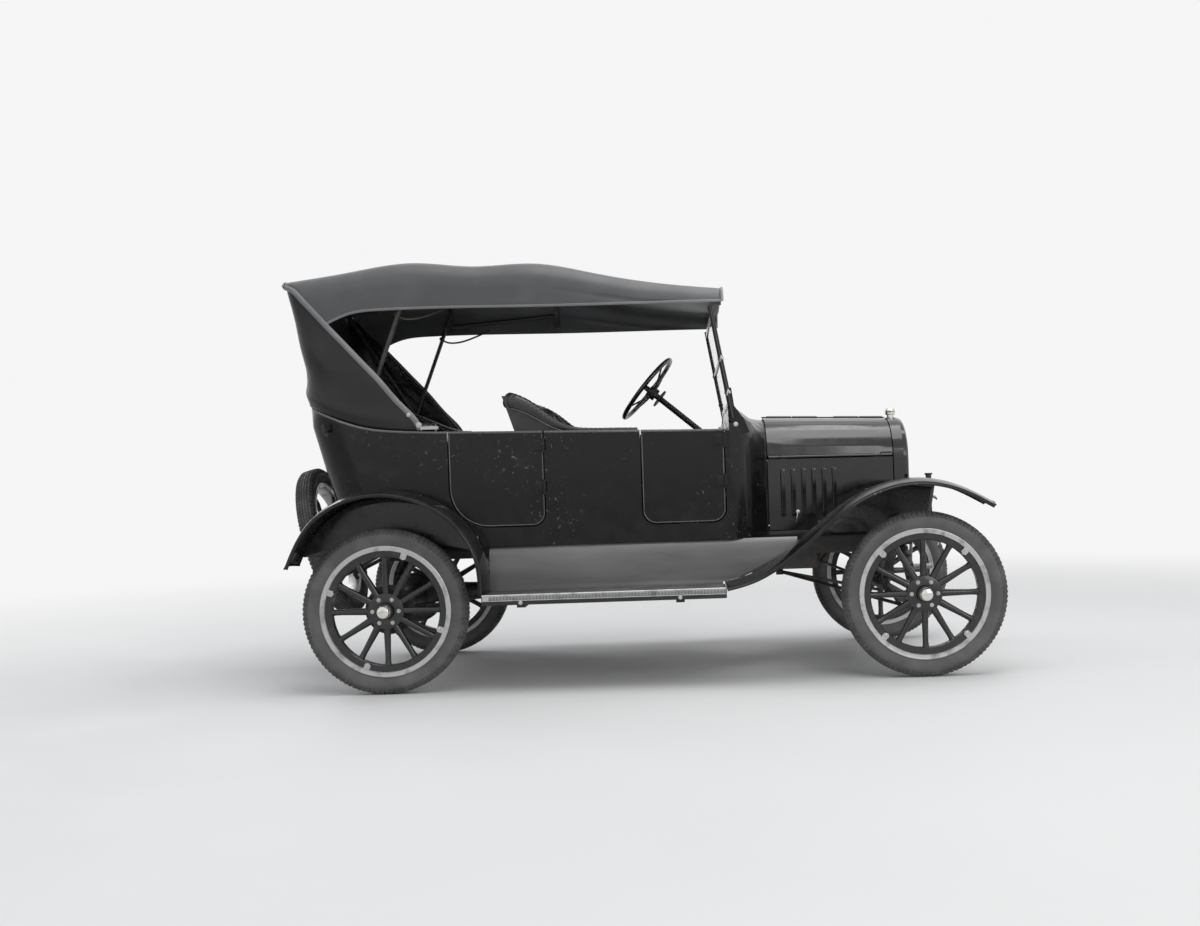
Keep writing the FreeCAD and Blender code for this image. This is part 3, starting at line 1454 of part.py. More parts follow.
save("hood_side_left", mirrored(right_side))
save("hood_rests", group([hood_rod_shape()] + both(hood_shelf_shape())))
save("radiator_shell", radiator_shell_shape())
save("radiator_core", radiator_core_shape())
save("radiator_cap", radiator_cap_shape())
save("lamp_brackets", group(both(lamp_bracket_shape())))
save("windshield_frame", windshield_frame_shape())
save("windshield_glass", glass_shape())
save("front_fenders", group(both(front_fender_shape())))
save("rear_fenders", group(both(rear_fender_shape())))
save("running_boards", group(both(running_board_shape())))
save("splash_aprons", group(both(splash_apron_shape())))
save("top_bows", top_bows_shape())
save("top_cover", top_cover_shape())
save("rear_curtain", rear_curtain_shape())
save("rear_window", rear_window_shape())
save("spare_tyre", lean_back(tyre))
save("spare_rim", lean_back(rim_ring(rim_radius - rim_depth, rim_half)))
save("spare_carrier", spare_carrier_shape())

# Centre the car's box along X and write each piece
boxes = [piece.copy().optimalBoundingBox(False) for piece in pieces_made.values()]
middle_x = (max(box.XMax for box in boxes) + min(box.XMin for box in boxes)) / 2
print("middle", round(middle_x, 3), "of", len(boxes), "pieces")
for name, piece in pieces_made.items():
    placed = piece.copy()
    placed.translate(Vector(-middle_x, 0, 0))
    placed.exportStep("parts/" + name + ".step")
    box = placed.optimalBoundingBox(False)
    edges = (box.XMin, box.XMax, box.YMin, box.YMax, box.ZMin, box.ZMax)
    sound = placed.isValid()
    print(name, len(placed.Solids), sound, round(placed.Volume / 1e6, 3), [round(v, 1) for v in edges])
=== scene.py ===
# %% [markdown]
# An open touring car of the early 1920s, dressed for its portrait.
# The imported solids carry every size, so this lesson only adds what a solid can't show: smooth
# pressed sheet, tread, pleats, cloth, bolts, glass and paint that has been used for years.
# Every size below is in millimetres from the middle of the wheelbase, and at() turns it into
# the metres of the frame. That keeps the numbers the same as a body maker would write them.

# %% Load the frame
import bpy
import bmesh
import json
import math
import numpy as np
from mathutils import Matrix, Vector

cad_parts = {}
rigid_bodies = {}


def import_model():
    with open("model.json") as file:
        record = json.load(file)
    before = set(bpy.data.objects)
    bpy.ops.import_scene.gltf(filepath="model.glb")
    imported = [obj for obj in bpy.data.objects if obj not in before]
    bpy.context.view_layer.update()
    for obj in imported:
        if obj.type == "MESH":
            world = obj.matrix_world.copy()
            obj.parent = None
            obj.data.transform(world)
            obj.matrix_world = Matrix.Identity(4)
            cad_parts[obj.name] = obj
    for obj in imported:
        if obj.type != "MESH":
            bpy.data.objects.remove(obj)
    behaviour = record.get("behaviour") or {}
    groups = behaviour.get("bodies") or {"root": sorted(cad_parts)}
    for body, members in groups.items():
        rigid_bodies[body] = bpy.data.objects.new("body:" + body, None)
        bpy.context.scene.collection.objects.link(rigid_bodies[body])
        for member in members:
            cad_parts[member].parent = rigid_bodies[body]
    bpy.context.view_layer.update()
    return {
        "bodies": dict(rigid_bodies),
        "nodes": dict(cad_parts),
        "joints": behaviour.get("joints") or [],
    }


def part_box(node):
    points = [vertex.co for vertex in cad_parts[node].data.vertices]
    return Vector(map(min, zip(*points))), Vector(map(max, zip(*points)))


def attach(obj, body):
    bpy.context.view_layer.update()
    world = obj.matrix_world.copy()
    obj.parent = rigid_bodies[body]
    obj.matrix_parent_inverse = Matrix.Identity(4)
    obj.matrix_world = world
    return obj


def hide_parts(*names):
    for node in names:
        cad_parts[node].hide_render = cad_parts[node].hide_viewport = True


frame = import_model()
joint_at = {joint["name"]: joint["pos_m"] for joint in frame["joints"]}
front_axle_x = 1270.0
rear_axle_x = -1270.0
shift = joint_at["front_right_spin"][0] * 1000 - front_axle_x
print("shift of the drawing along the car:", round(shift, 3), "mm")


def at(x, y, z):
    return Vector(((x + shift) / 1000, y / 1000, z / 1000))


# %% [markdown]
# The camera stands a metre above the ground, about six metres from the car's right side and
# almost square to it. The picture leans by two degrees, so the camera is rolled to match.
# The numbers come from matching the wheels, roof and doors of the photograph.

# %% Set up the camera
camera_place = (172.272, -6833.709, 989.121)
camera_right = Vector((0.9994542, 0.0013883, -0.0330056))
camera_up = Vector((0.0329980, 0.0051578, 0.9994421))
focal_pixels = 1296.766
middle_pixel = (685.756, 480.855)
picture = (1200, 926)
sensor_width = 36.0

camera_data = bpy.data.cameras.new("portrait_camera")
camera = bpy.data.objects.new("portrait_camera", camera_data)
bpy.context.scene.collection.objects.link(camera)
bpy.context.scene.camera = camera
camera_back = camera_right.cross(camera_up)
turn = Matrix((camera_right, camera_up, camera_back)).transposed()
camera.matrix_world = Matrix.Translation(at(*camera_place)) @ turn.to_4x4()
camera_data.sensor_fit = "HORIZONTAL"
camera_data.sensor_width = sensor_width
camera_data.lens = focal_pixels / picture[0] * sensor_width
camera_data.shift_x = (picture[0] / 2 - middle_pixel[0]) / picture[0]
camera_data.shift_y = (middle_pixel[1] - picture[1] / 2) / picture[0]
camera_data.clip_end = 200.0

# %% [markdown]
# Black enamel shows mostly what it mirrors, so the light matters more than the paint. A pale
# even sky is used, with three wide soft lamps above, beside and behind the car. Hard lamps
# would leave bright points on the curved fenders that the eye takes for dents.

# %% Light the room
scene = bpy.context.scene
scene.view_settings.view_transform = "Standard"
room_glow = (0.92, 0.92, 0.92, 1)
world = bpy.data.worlds.new("pale_room")
scene.world = world
world.use_nodes = True
sky_nodes = world.node_tree.nodes
sky_links = world.node_tree.links
sky_nodes.clear()
sky_out = sky_nodes.new("ShaderNodeOutputWorld")
sky_mix = sky_nodes.new("ShaderNodeMixShader")
sky_light = sky_nodes.new("ShaderNodeBackground")
sky_seen = sky_nodes.new("ShaderNodeBackground")
sky_path = sky_nodes.new("ShaderNodeLightPath")
sky_light.inputs["Color"].default_value = (0.93, 0.95, 1.0, 1)
sky_light.inputs["Strength"].default_value = 0.5
sky_seen.inputs["Color"].default_value = room_glow
sky_seen.inputs["Strength"].default_value = 1.0
seen_or_mirrored = sky_nodes.new("ShaderNodeMath")
seen_or_mirrored.operation = "ADD"
seen_at_all = sky_nodes.new("ShaderNodeMath")
seen_at_all.operation = "ADD"
seen_at_all.use_clamp = True
sky_links.new(sky_path.outputs["Is Camera Ray"], seen_or_mirrored.inputs[0])
sky_links.new(sky_path.outputs["Is Glossy Ray"], seen_or_mirrored.inputs[1])
sky_links.new(seen_or_mirrored.outputs[0], seen_at_all.inputs[0])
sky_links.new(sky_path.outputs["Is Transmission Ray"], seen_at_all.inputs[1])
sky_links.new(seen_at_all.outputs[0], sky_mix.inputs[0])
sky_links.new(sky_light.outputs[0], sky_mix.inputs[1])
sky_links.new(sky_seen.outputs[0], sky_mix.inputs[2])
sky_links.new(sky_mix.outputs[0], sky_out.inputs[0])


def soft_lamp(name, place, aim, size, power):
    data = bpy.data.lights.new(name, "AREA")
    data.shape = "RECTANGLE"
    data.size = size[0]
    data.size_y = size[1]
    data.energy = power
    lamp = bpy.data.objects.new(name, data)
    scene.collection.objects.link(lamp)
    way = Vector(aim) - Vector(place)
    lamp.location = place
    lamp.rotation_euler = way.to_track_quat("-Z", "Y").to_euler()


soft_lamp("overhead_lamp", (1.2, -1.0, 6.5), (0.0, 0.0, 0.8), (7.0, 4.0), 250)
soft_lamp("side_lamp", (4.5, -6.5, 3.6), (0.2, 0.0, 0.9), (4.0, 3.0), 110)
soft_lamp("rear_lamp", (-5.5, 4.5, 4.2), (0.0, 0.0, 1.0), (4.0, 3.0), 90)

# %% [markdown]
# Each finish is a small node tree. They share one builder, because real paint, cloth and iron
# all have the same three things on top of their colour: patches where the surface has aged,
# a gloss that wanders, and a fine grain that catches light. Only the sizes of these differ.

# %% A builder for finishes
def finish(name, colour, gloss, metal=0.0, aged=None, patch=3.0, share=(0.5, 0.75), swing=0.08,
           grain=160.0, depth=0.0002, coat=0.0, sheen=0.0, stretch=(1, 1, 1)):
    material = bpy.data.materials.new(name)
    material.use_nodes = True
    nodes = material.node_tree.nodes
    links = material.node_tree.links
    shader = nodes["Principled BSDF"]
    shader.inputs["Base Color"].default_value = (*colour, 1)
    shader.inputs["Metallic"].default_value = metal
    shader.inputs["Coat Weight"].default_value = coat
    shader.inputs["Coat Roughness"].default_value = 0.06
    shader.inputs["Sheen Weight"].default_value = sheen
    place = nodes.new("ShaderNodeTexCoord")
    scale = nodes.new("ShaderNodeMapping")
    scale.inputs["Scale"].default_value = stretch
    links.new(place.outputs["Object"], scale.inputs["Vector"])

    def noise(size, detail):
        texture = nodes.new("ShaderNodeTexNoise")
        texture.inputs["Scale"].default_value = size
        texture.inputs["Detail"].default_value = detail
        links.new(scale.outputs["Vector"], texture.inputs["Vector"])
        return texture

    patches = noise(patch, 9.0)
    spread = nodes.new("ShaderNodeMapRange")
    spread.inputs["From Min"].default_value = share[0]
    spread.inputs["From Max"].default_value = share[1]
    links.new(patches.outputs["Fac"], spread.inputs["Value"])
    blend = nodes.new("ShaderNodeMix")
    blend.data_type = "RGBA"
    blend.inputs["A"].default_value = (*colour, 1)
    blend.inputs["B"].default_value = (*(aged or colour), 1)
    links.new(spread.outputs["Result"], blend.inputs["Factor"])
    links.new(blend.outputs["Result"], shader.inputs["Base Color"])
    wander = noise(patch * 2.3, 6.0)
    dull = nodes.new("ShaderNodeMapRange")
    dull.inputs["From Min"].default_value = 0.3
    dull.inputs["From Max"].default_value = 0.75
    dull.inputs["To Min"].default_value = max(gloss - swing, 0.02)
    dull.inputs["To Max"].default_value = min(gloss + swing * 2, 1.0)
    links.new(wander.outputs["Fac"], dull.inputs["Value"])
    links.new(dull.outputs["Result"], shader.inputs["Roughness"])
    fine = noise(grain, 3.0)
    bump = nodes.new("ShaderNodeBump")
    bump.inputs["Strength"].default_value = 0.6
    bump.inputs["Distance"].default_value = depth
    links.new(fine.outputs["Fac"], bump.inputs["Height"])
    links.new(bump.outputs["Normal"], shader.inputs["Normal"])
    return material


def shader_of(material):
    return material.node_tree.nodes["Principled BSDF"]


def add_scuffs(material, colour, share):
    # Small pale scratches that gather in a few places, on top of the finish's own colour
    nodes = material.node_tree.nodes
    links = material.node_tree.links
    place = nodes.new("ShaderNodeTexCoord")
    marks = []
    for size, low, high in ((3.1, share, share + 0.1), (46.0, 0.6, 0.68)):
        texture = nodes.new("ShaderNodeTexNoise")
        texture.inputs["Scale"].default_value = size
        texture.inputs["Detail"].default_value = 8.0
        texture.inputs["Roughness"].default_value = 0.66
        spread = nodes.new("ShaderNodeMapRange")
        spread.inputs["From Min"].default_value = low
        spread.inputs["From Max"].default_value = high
        links.new(place.outputs["Object"], texture.inputs["Vector"])
        links.new(texture.outputs["Fac"], spread.inputs["Value"])
        marks.append(spread)
    both = nodes.new("ShaderNodeMath")
    both.operation = "MULTIPLY"
    links.new(marks[0].outputs["Result"], both.inputs[0])
    links.new(marks[1].outputs["Result"], both.inputs[1])
    blend = nodes.new("ShaderNodeMix")
    blend.data_type = "RGBA"
    under = shader_of(material).inputs["Base Color"].links[0].from_socket
    links.new(both.outputs[0], blend.inputs["Factor"])
    links.new(under, blend.inputs["A"])
    blend.inputs["B"].default_value = (*colour, 1)
    links.new(blend.outputs["Result"], shader_of(material).inputs["Base Color"])


# %% [markdown]
# The car is black all over, but no two blacks on it are the same. Body enamel is glossy with
# dull scuffs, the fenders are dustier, the frame is flat, the rubber is grey with age and the
# coated top cloth has a soft sheen. Making each black its own finish keeps the parts apart.

# %% Mix the finishes
body_enamel = finish("body_enamel", (0.005, 0.005, 0.0055), 0.17, aged=(0.014, 0.0135, 0.013), patch=7.0,
                     share=(0.6, 0.74), swing=0.06, grain=60.0, coat=0.06)
fender_enamel = finish("fender_enamel", (0.008, 0.008, 0.0085), 0.22, aged=(0.03, 0.029, 0.028), patch=8.0,
                       share=(0.55, 0.8), grain=50.0, depth=0.0003, coat=0.15)
# Grey base colour for parts that are black enamel on the car: painted reflection of the bright ground on the
# splash aprons, and a painted highlight along the rounded mouldings and door beads.
painted_reflection_enamel = finish("painted_reflection_enamel", (0.09, 0.09, 0.091), 0.3, aged=(0.19, 0.19, 0.187), patch=4.0,
                      share=(0.4, 0.8), grain=45.0, depth=0.0004, coat=0.2, stretch=(0.35, 1, 1.6))
hood_enamel = finish("hood_enamel", (0.006, 0.006, 0.0065), 0.14, aged=(0.015, 0.015, 0.015), patch=8.0,
                     share=(0.6, 0.78), swing=0.05, grain=50.0, depth=0.00015, coat=0.3)
frame_paint = finish("frame_paint", (0.018, 0.018, 0.018), 0.5, aged=(0.06, 0.054, 0.048), patch=9.0,
                     share=(0.45, 0.75), grain=220.0, depth=0.0006)
axle_paint = finish("axle_paint", (0.022, 0.021, 0.02), 0.55, aged=(0.08, 0.07, 0.06), patch=14.0,
                    share=(0.45, 0.7), grain=260.0, depth=0.0007)
tyre_rubber = finish("tyre_rubber", (0.085, 0.085, 0.086), 0.62, aged=(0.15, 0.148, 0.144), patch=8.0,
                     share=(0.42, 0.78), grain=420.0, depth=0.0005)
tread_rubber = finish("tread_rubber", (0.05, 0.05, 0.05), 0.75, aged=(0.13, 0.125, 0.118), patch=16.0,
                      share=(0.4, 0.75), grain=500.0, depth=0.0007)
spoke_paint = finish("spoke_paint", (0.01, 0.01, 0.011), 0.26, aged=(0.035, 0.032, 0.028), patch=20.0,
                     share=(0.55, 0.75), grain=90.0, depth=0.0006, coat=0.3)
rim_steel = finish("rim_steel", (0.5, 0.5, 0.5), 0.36, metal=0.6, aged=(0.16, 0.15, 0.14), patch=18.0,
                   share=(0.52, 0.8), grain=300.0, depth=0.0003)
shader_of(body_enamel).inputs["Specular IOR Level"].default_value = 0.32
add_scuffs(body_enamel, (0.16, 0.16, 0.155), 0.5)
bright_steel = finish("bright_steel", (0.52, 0.52, 0.53), 0.28, metal=1.0, aged=(0.25, 0.23, 0.21),
                      patch=30.0, share=(0.55, 0.75), grain=400.0)
dull_steel = finish("dull_steel", (0.26, 0.26, 0.265), 0.45, metal=0.9, aged=(0.12, 0.09, 0.07), patch=16.0,
                    share=(0.48, 0.72), grain=300.0, depth=0.0004)
cap_nickel = finish("cap_nickel", (0.72, 0.7, 0.66), 0.16, metal=1.0, aged=(0.45, 0.42, 0.38), patch=30.0,
                    share=(0.55, 0.8), grain=300.0, depth=0.0001)
engine_iron = finish("engine_iron", (0.1, 0.1, 0.1), 0.62, metal=0.5, aged=(0.16, 0.11, 0.08), patch=12.0,
                     share=(0.45, 0.7), grain=240.0, depth=0.0012)
board_rubber = finish("board_rubber", (0.05, 0.05, 0.05), 0.6, aged=(0.12, 0.12, 0.115), patch=8.0,
                      share=(0.4, 0.7), grain=260.0, depth=0.0006)
bow_wood = finish("bow_wood", (0.02, 0.018, 0.016), 0.45, aged=(0.05, 0.044, 0.038), patch=6.0,
                  share=(0.4, 0.7), grain=120.0, depth=0.0008, coat=0.15, stretch=(1, 1, 6))
floor_wood = finish("floor_wood", (0.13, 0.1, 0.075), 0.65, aged=(0.06, 0.05, 0.042), patch=5.0,
                    share=(0.4, 0.7), grain=80.0, depth=0.001, stretch=(0.4, 6, 6))
wheel_wood = finish("wheel_wood", (0.03, 0.02, 0.015), 0.22, aged=(0.07, 0.05, 0.036), patch=14.0,
                    share=(0.5, 0.75), grain=90.0, depth=0.0004, coat=0.5)
seat_hide = finish("seat_hide", (0.018, 0.017, 0.017), 0.33, aged=(0.045, 0.043, 0.041), patch=9.0,
                   share=(0.45, 0.75), swing=0.1, grain=340.0, depth=0.0006, coat=0.1)
clear_glass = finish("clear_glass", (0.96, 0.98, 0.98), 0.03, swing=0.01, grain=3.0, depth=0.00005)
shader_of(clear_glass).inputs["Transmission Weight"].default_value = 1.0
shader_of(clear_glass).inputs["IOR"].default_value = 1.2

# %% [markdown]
# The top is cotton coated with black rubber. Seen close it has a fine square weave, and where
# it is stretched over the bows it has rubbed a little paler. Two wave textures at right
# angles make the weave, and a wide noise gives the rubbed places.

# %% The coated cloth
def coated_cloth(name, colour, rubbed, gloss):
    material = finish(name, colour, gloss, aged=rubbed, patch=2.6, share=(0.42, 0.72), swing=0.06,
                      grain=30.0, depth=0.0006, sheen=0.25)
    nodes = material.node_tree.nodes
    links = material.node_tree.links
    place = nodes.new("ShaderNodeTexCoord")
    threads = []
    for direction in ("X", "Y"):
        wave = nodes.new("ShaderNodeTexWave")
        wave.bands_direction = direction
        wave.inputs["Scale"].default_value = 190.0
        wave.inputs["Distortion"].default_value = 0.6
        wave.inputs["Detail Scale"].default_value = 2.0
        links.new(place.outputs["Object"], wave.inputs["Vector"])
        threads.append(wave)
    weave = nodes.new("ShaderNodeMath")
    weave.operation = "MULTIPLY"
    links.new(threads[0].outputs["Fac"], weave.inputs[0])
    links.new(threads[1].outputs["Fac"], weave.inputs[1])
    bump = nodes.new("ShaderNodeBump")
    bump.inputs["Strength"].default_value = 0.35
    bump.inputs["Distance"].default_value = 0.0004
    soft = [n for n in nodes if n.type == "BUMP" and n is not bump][0]
    links.new(weave.outputs[0], bump.inputs["Height"])
    links.new(soft.outputs["Normal"], bump.inputs["Normal"])
    links.new(bump.outputs["Normal"], shader_of(material).inputs["Normal"])
    return material


top_cloth = coated_cloth("top_cloth", (0.068, 0.07, 0.073), (0.115, 0.118, 0.122), 0.38)
# The curtain is the same cloth as the top, given a colour about ten times darker: painted shade.
curtain_cloth_painted_shade = coated_cloth("curtain_cloth_painted_shade", (0.007, 0.007, 0.008), (0.018, 0.018, 0.019), 0.27)
binding_cloth = coated_cloth("binding_cloth", (0.17, 0.17, 0.172), (0.27, 0.27, 0.27), 0.48)
shader_of(curtain_cloth_painted_shade).inputs["Sheen Weight"].default_value = 0.05
shader_of(curtain_cloth_painted_shade).inputs["Specular IOR Level"].default_value = 0.4

# %% [markdown]
# Two small helpers make most of the car: grid() joins rows of points into a skin, and tube() runs
# a round bar along a line. Each returns plain points and faces, so shapes can be joined before
# they become one object. A third, spun(), comes with the wheels and turns a profile on an axle.

# %% Helpers that return points and faces
def smooth_curve(points, count):
    # A natural cubic through the points, the same kind of curve as in the solids
    knots = np.array([tuple(p) for p in points], float)
    gaps = np.linalg.norm(np.diff(knots, axis=0), axis=1)
    marks = np.concatenate([[0], np.cumsum(gaps)])
    size = len(knots)
    matrix = np.eye(size)
    right = np.zeros_like(knots)
    for i in range(1, size - 1):
        matrix[i, i - 1] = gaps[i - 1]
        matrix[i, i] = 2 * (gaps[i - 1] + gaps[i])
        matrix[i, i + 1] = gaps[i]
        right[i] = 6 * ((knots[i + 1] - knots[i]) / gaps[i] - (knots[i] - knots[i - 1]) / gaps[i - 1])
    bend = np.linalg.solve(matrix, right)
    found = []
    for mark in np.linspace(0, marks[-1], count + 1):
        i = min(max(int(np.searchsorted(marks, mark)) - 1, 0), size - 2)
        a = marks[i + 1] - mark
        b = mark - marks[i]
        h = gaps[i]
        point = (bend[i] * a ** 3 + bend[i + 1] * b ** 3) / (6 * h)
        point = point + (knots[i] / h - bend[i] * h / 6) * a + (knots[i + 1] / h - bend[i + 1] * h / 6) * b
        found.append(Vector(point))
    return found


def grid(rows, close_rows=False, close_points=False, cap=False):
    across = len(rows[0])
    faces = []
    for i in range(len(rows) if close_rows else len(rows) - 1):
        low = i * across
        high = ((i + 1) % len(rows)) * across
        for j in range(across if close_points else across - 1):
            k = (j + 1) % across
            faces.append((low + j, low + k, high + k, high + j))
    if cap:
        last = (len(rows) - 1) * across
        faces.append(tuple(range(across))[::-1])
        faces.append(tuple(range(last, last + across)))
    return [point for row in rows for point in row], faces


def joined(shapes):
    verts = []
    faces = []
    for points, sides in shapes:
        start = len(verts)
        verts.extend(points)
        faces.extend(tuple(start + i for i in side) for side in sides)
    return verts, faces


def tube(points, radius, sides=12, tall=1.0):
    # points are in the frame's metres and radius is in millimetres, or a list of them
    radii = radius if isinstance(radius, list) else [radius] * len(points)
    across = None
    rows = []
    for i, point in enumerate(points):
        way = (points[min(i + 1, len(points) - 1)] - points[max(i - 1, 0)]).normalized()
        if across is None:
            across = way.orthogonal().normalized()
        across = (across - way * across.dot(way)).normalized()
        up = way.cross(across)
        row = []
        for number in range(sides):
            angle = 2 * math.pi * number / sides
            reach = radii[i] / 1000
            row.append(point + across * (reach * math.cos(angle)) + up * (reach * tall * math.sin(angle)))
        rows.append(row)
    return grid(rows, close_points=True, cap=True)


def mirror_y(shape):
    return [Vector((p.x, -p.y, p.z)) for p in shape[0]], [side[::-1] for side in shape[1]]


def both_sides(shapes):
    return list(shapes) + [mirror_y(shape) for shape in shapes]


print("helpers ready")

# %% [markdown]
# Every piece becomes an object in the same way: doubles merged, faces turned outwards, edges
# sharper than a set angle kept crisp, one finish and one body to ride on.
# A copy of a solid gets its flat triangles merged first, and then a narrow bevel, because a real
# edge is never a line and it is the bevel that catches the light. Weighted normals then let the
# large flat panels decide the shading, so a small hinge doesn't seem to dent the panel round it.

# %% Helpers that make objects
def add_piece(name, shape, material, body="car", nodes=(), angle=35, wall=0.0):
    mesh = bpy.data.meshes.new(name)
    mesh.from_pydata([tuple(p) for p in shape[0]], [], shape[1])
    work = bmesh.new()
    work.from_mesh(mesh)
    bmesh.ops.remove_doubles(work, verts=work.verts, dist=0.000002)
    bmesh.ops.recalc_face_normals(work, faces=work.faces)
    work.to_mesh(mesh)
    work.free()
    mesh.materials.append(material)
    mesh.polygons.foreach_set("use_smooth", [True] * len(mesh.polygons))
    mesh.set_sharp_from_angle(angle=math.radians(angle))
    piece = bpy.data.objects.new(name, mesh)
    scene.collection.objects.link(piece)
    if wall:
        sheet = piece.modifiers.new("wall", "SOLIDIFY")
        sheet.thickness = wall / 1000
        sheet.offset = -1
    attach(piece, body)
    if nodes:
        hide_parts(*nodes)
    return piece


body_of_node = {}
for body_name, holder in frame["bodies"].items():
    for child in holder.children_recursive:
        if child.name in frame["nodes"]:
            body_of_node[child.name] = body_name


def copy_of(node, material, bevel=1.2, angle=38, merge_flat=True):
    source = frame["nodes"][node]
    mesh = source.data.copy()
    work = bmesh.new()
    work.from_mesh(mesh)
    bmesh.ops.remove_doubles(work, verts=work.verts, dist=0.00001)
    if merge_flat:
        bmesh.ops.dissolve_limit(work, angle_limit=math.radians(0.6), verts=work.verts, edges=work.edges)
    work.to_mesh(mesh)
    work.free()
    mesh.materials.clear()
    mesh.materials.append(material)
    mesh.polygons.foreach_set("use_smooth", [True] * len(mesh.polygons))
    mesh.set_sharp_from_angle(angle=math.radians(angle))
    piece = bpy.data.objects.new(node + "_dressed", mesh)
    scene.collection.objects.link(piece)
    if bevel:
        edge = piece.modifiers.new("edge", "BEVEL")
        edge.width = bevel / 1000
        edge.segments = 2
        edge.limit_method = "ANGLE"
        edge.angle_limit = math.radians(angle)
        edge.harden_normals = True
    even = piece.modifiers.new("even", "WEIGHTED_NORMAL")
    even.keep_sharp = True
    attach(piece, body_of_node[node])
    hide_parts(node)
    return piece


print("bodies of", len(body_of_node), "solids known")

# %% [markdown]
# Bolts, tread blocks, ribs and louvres repeat at even steps, so Geometry Nodes set them out. One
# tree makes a ring and one makes a row. Their sizes are named inputs, so the same two trees serve
# the whole car, and what they make is turned to plain mesh at the end.

# %% Two trees that repeat a small shape
def repeat_tree(name, ring):
    tree = bpy.data.node_groups.new(name, "GeometryNodeTree")
    sockets = {}
    for label, kind in (("Shape", "NodeSocketObject"), ("Count", "NodeSocketInt"),
                        ("Reach", "NodeSocketFloat"), ("Finish", "NodeSocketMaterial")):
        sockets[label] = tree.interface.new_socket(label, in_out="INPUT", socket_type=kind).identifier
    tree.interface.new_socket("Geometry", in_out="OUTPUT", socket_type="NodeSocketGeometry")
    nodes = tree.nodes
    links = tree.links
    start = nodes.new("NodeGroupInput")
    end = nodes.new("NodeGroupOutput")
    shape = nodes.new("GeometryNodeObjectInfo")
    links.new(start.outputs["Shape"], shape.inputs["Object"])
    spread = nodes.new("GeometryNodeInstanceOnPoints")
    if ring:
        spots = nodes.new("GeometryNodeMeshCircle")
        links.new(start.outputs["Count"], spots.inputs["Vertices"])
        links.new(start.outputs["Reach"], spots.inputs["Radius"])
        place = nodes.new("GeometryNodeInputPosition")
        face_out = nodes.new("FunctionNodeAlignRotationToVector")
        face_out.axis = "X"
        face_out.pivot_axis = "Z"
        links.new(place.outputs[0], face_out.inputs["Vector"])
        links.new(face_out.outputs[0], spread.inputs["Rotation"])
    else:
        spots = nodes.new("GeometryNodeMeshLine")
        spots.mode = "END_POINTS"
        links.new(start.outputs["Count"], spots.inputs["Count"])
        way = nodes.new("ShaderNodeCombineXYZ")
        links.new(start.outputs["Reach"], way.inputs["X"])
        links.new(way.outputs[0], spots.inputs["Offset"])
    links.new(spots.outputs[0], spread.inputs["Points"])
    links.new(shape.outputs["Geometry"], spread.inputs["Instance"])
    real = nodes.new("GeometryNodeRealizeInstances")
    paint = nodes.new("GeometryNodeSetMaterial")
    links.new(spread.outputs[0], real.inputs[0])
    links.new(real.outputs[0], paint.inputs["Geometry"])
    links.new(start.outputs["Finish"], paint.inputs["Material"])
    links.new(paint.outputs[0], end.inputs[0])
    return tree, sockets


ring_tree = repeat_tree("ring_of_shapes", True)
row_tree = repeat_tree("row_of_shapes", False)


def repeated(tree_and_sockets, shape, count, reach, material, matrix):
    # The repeats as points and faces, moved to their place by the matrix
    tree, sockets = tree_and_sockets
    small = bpy.data.meshes.new("small_shape")
    small.from_pydata([tuple(p) for p in shape[0]], [], shape[1])
    source = bpy.data.objects.new("small_shape", small)
    holder = bpy.data.objects.new("repeat_holder", bpy.data.meshes.new("repeat_holder"))
    scene.collection.objects.link(source)
    scene.collection.objects.link(holder)
    steps = holder.modifiers.new("repeat", "NODES")
    steps.node_group = tree
    steps[sockets["Shape"]] = source
    steps[sockets["Count"]] = count
    steps[sockets["Reach"]] = reach
    steps[sockets["Finish"]] = material
    ready = holder.evaluated_get(bpy.context.evaluated_depsgraph_get())
    mesh = bpy.data.meshes.new_from_object(ready)
    verts = [matrix @ v.co for v in mesh.vertices]
    faces = [tuple(p.vertices) for p in mesh.polygons]
    for thing in (holder, source):
        bpy.data.objects.remove(thing)
    bpy.data.meshes.remove(mesh)
    return verts, faces


box_faces = [(3, 2, 1, 0), (4, 5, 6, 7), (0, 1, 5, 4), (1, 2, 6, 5), (2, 3, 7, 6), (3, 0, 4, 7)]


def small_box(x0, x1, y0, y1, z0, z1, taper=0.8):
    # A block whose far end along Z is narrower, in metres
    mid_x = (x0 + x1) / 2
    mid_y = (y0 + y1) / 2
    verts = []
    for z, share in ((z0, 1.0), (z1, taper)):
        for x, y in ((x0, y0), (x1, y0), (x1, y1), (x0, y1)):
            verts.append(Vector((mid_x + (x - mid_x) * share, mid_y + (y - mid_y) * share, z)))
    return verts, box_faces


def hex_head(width, height, washer=1.5):
    # A bolt head on a round washer, standing up along Z. Sizes are in millimetres
    reach = width / 2000
    flat_share = 0.87
    profile = ((reach * washer, 0, False), (reach * washer, height * 0.25, False),
               (reach, height * 0.26, True), (reach, height * 0.85, True), (reach * 0.82, height, True))
    rows = []
    for radius, z, has_flats in profile:
        row = []
        for number in range(12):
            angle = math.pi * number / 6
            share = flat_share if has_flats and number % 2 else 1.0
            row.append(Vector((radius * share * math.cos(angle), radius * share * math.sin(angle), z / 1000)))
        rows.append(row)
    return grid(rows, close_points=True, cap=True)


def set_on(place, way):
    # The matrix that stands a small shape on a place, with its Z along a direction
    turned = Vector(way).to_track_quat("Z", "Y").to_matrix().to_4x4()
    return Matrix.Translation(place) @ turned


def moved(shape, matrix):
    return [matrix @ p for p in shape[0]], shape[1]


print("repeating trees ready:", ring_tree[0].name, row_tree[0].name)

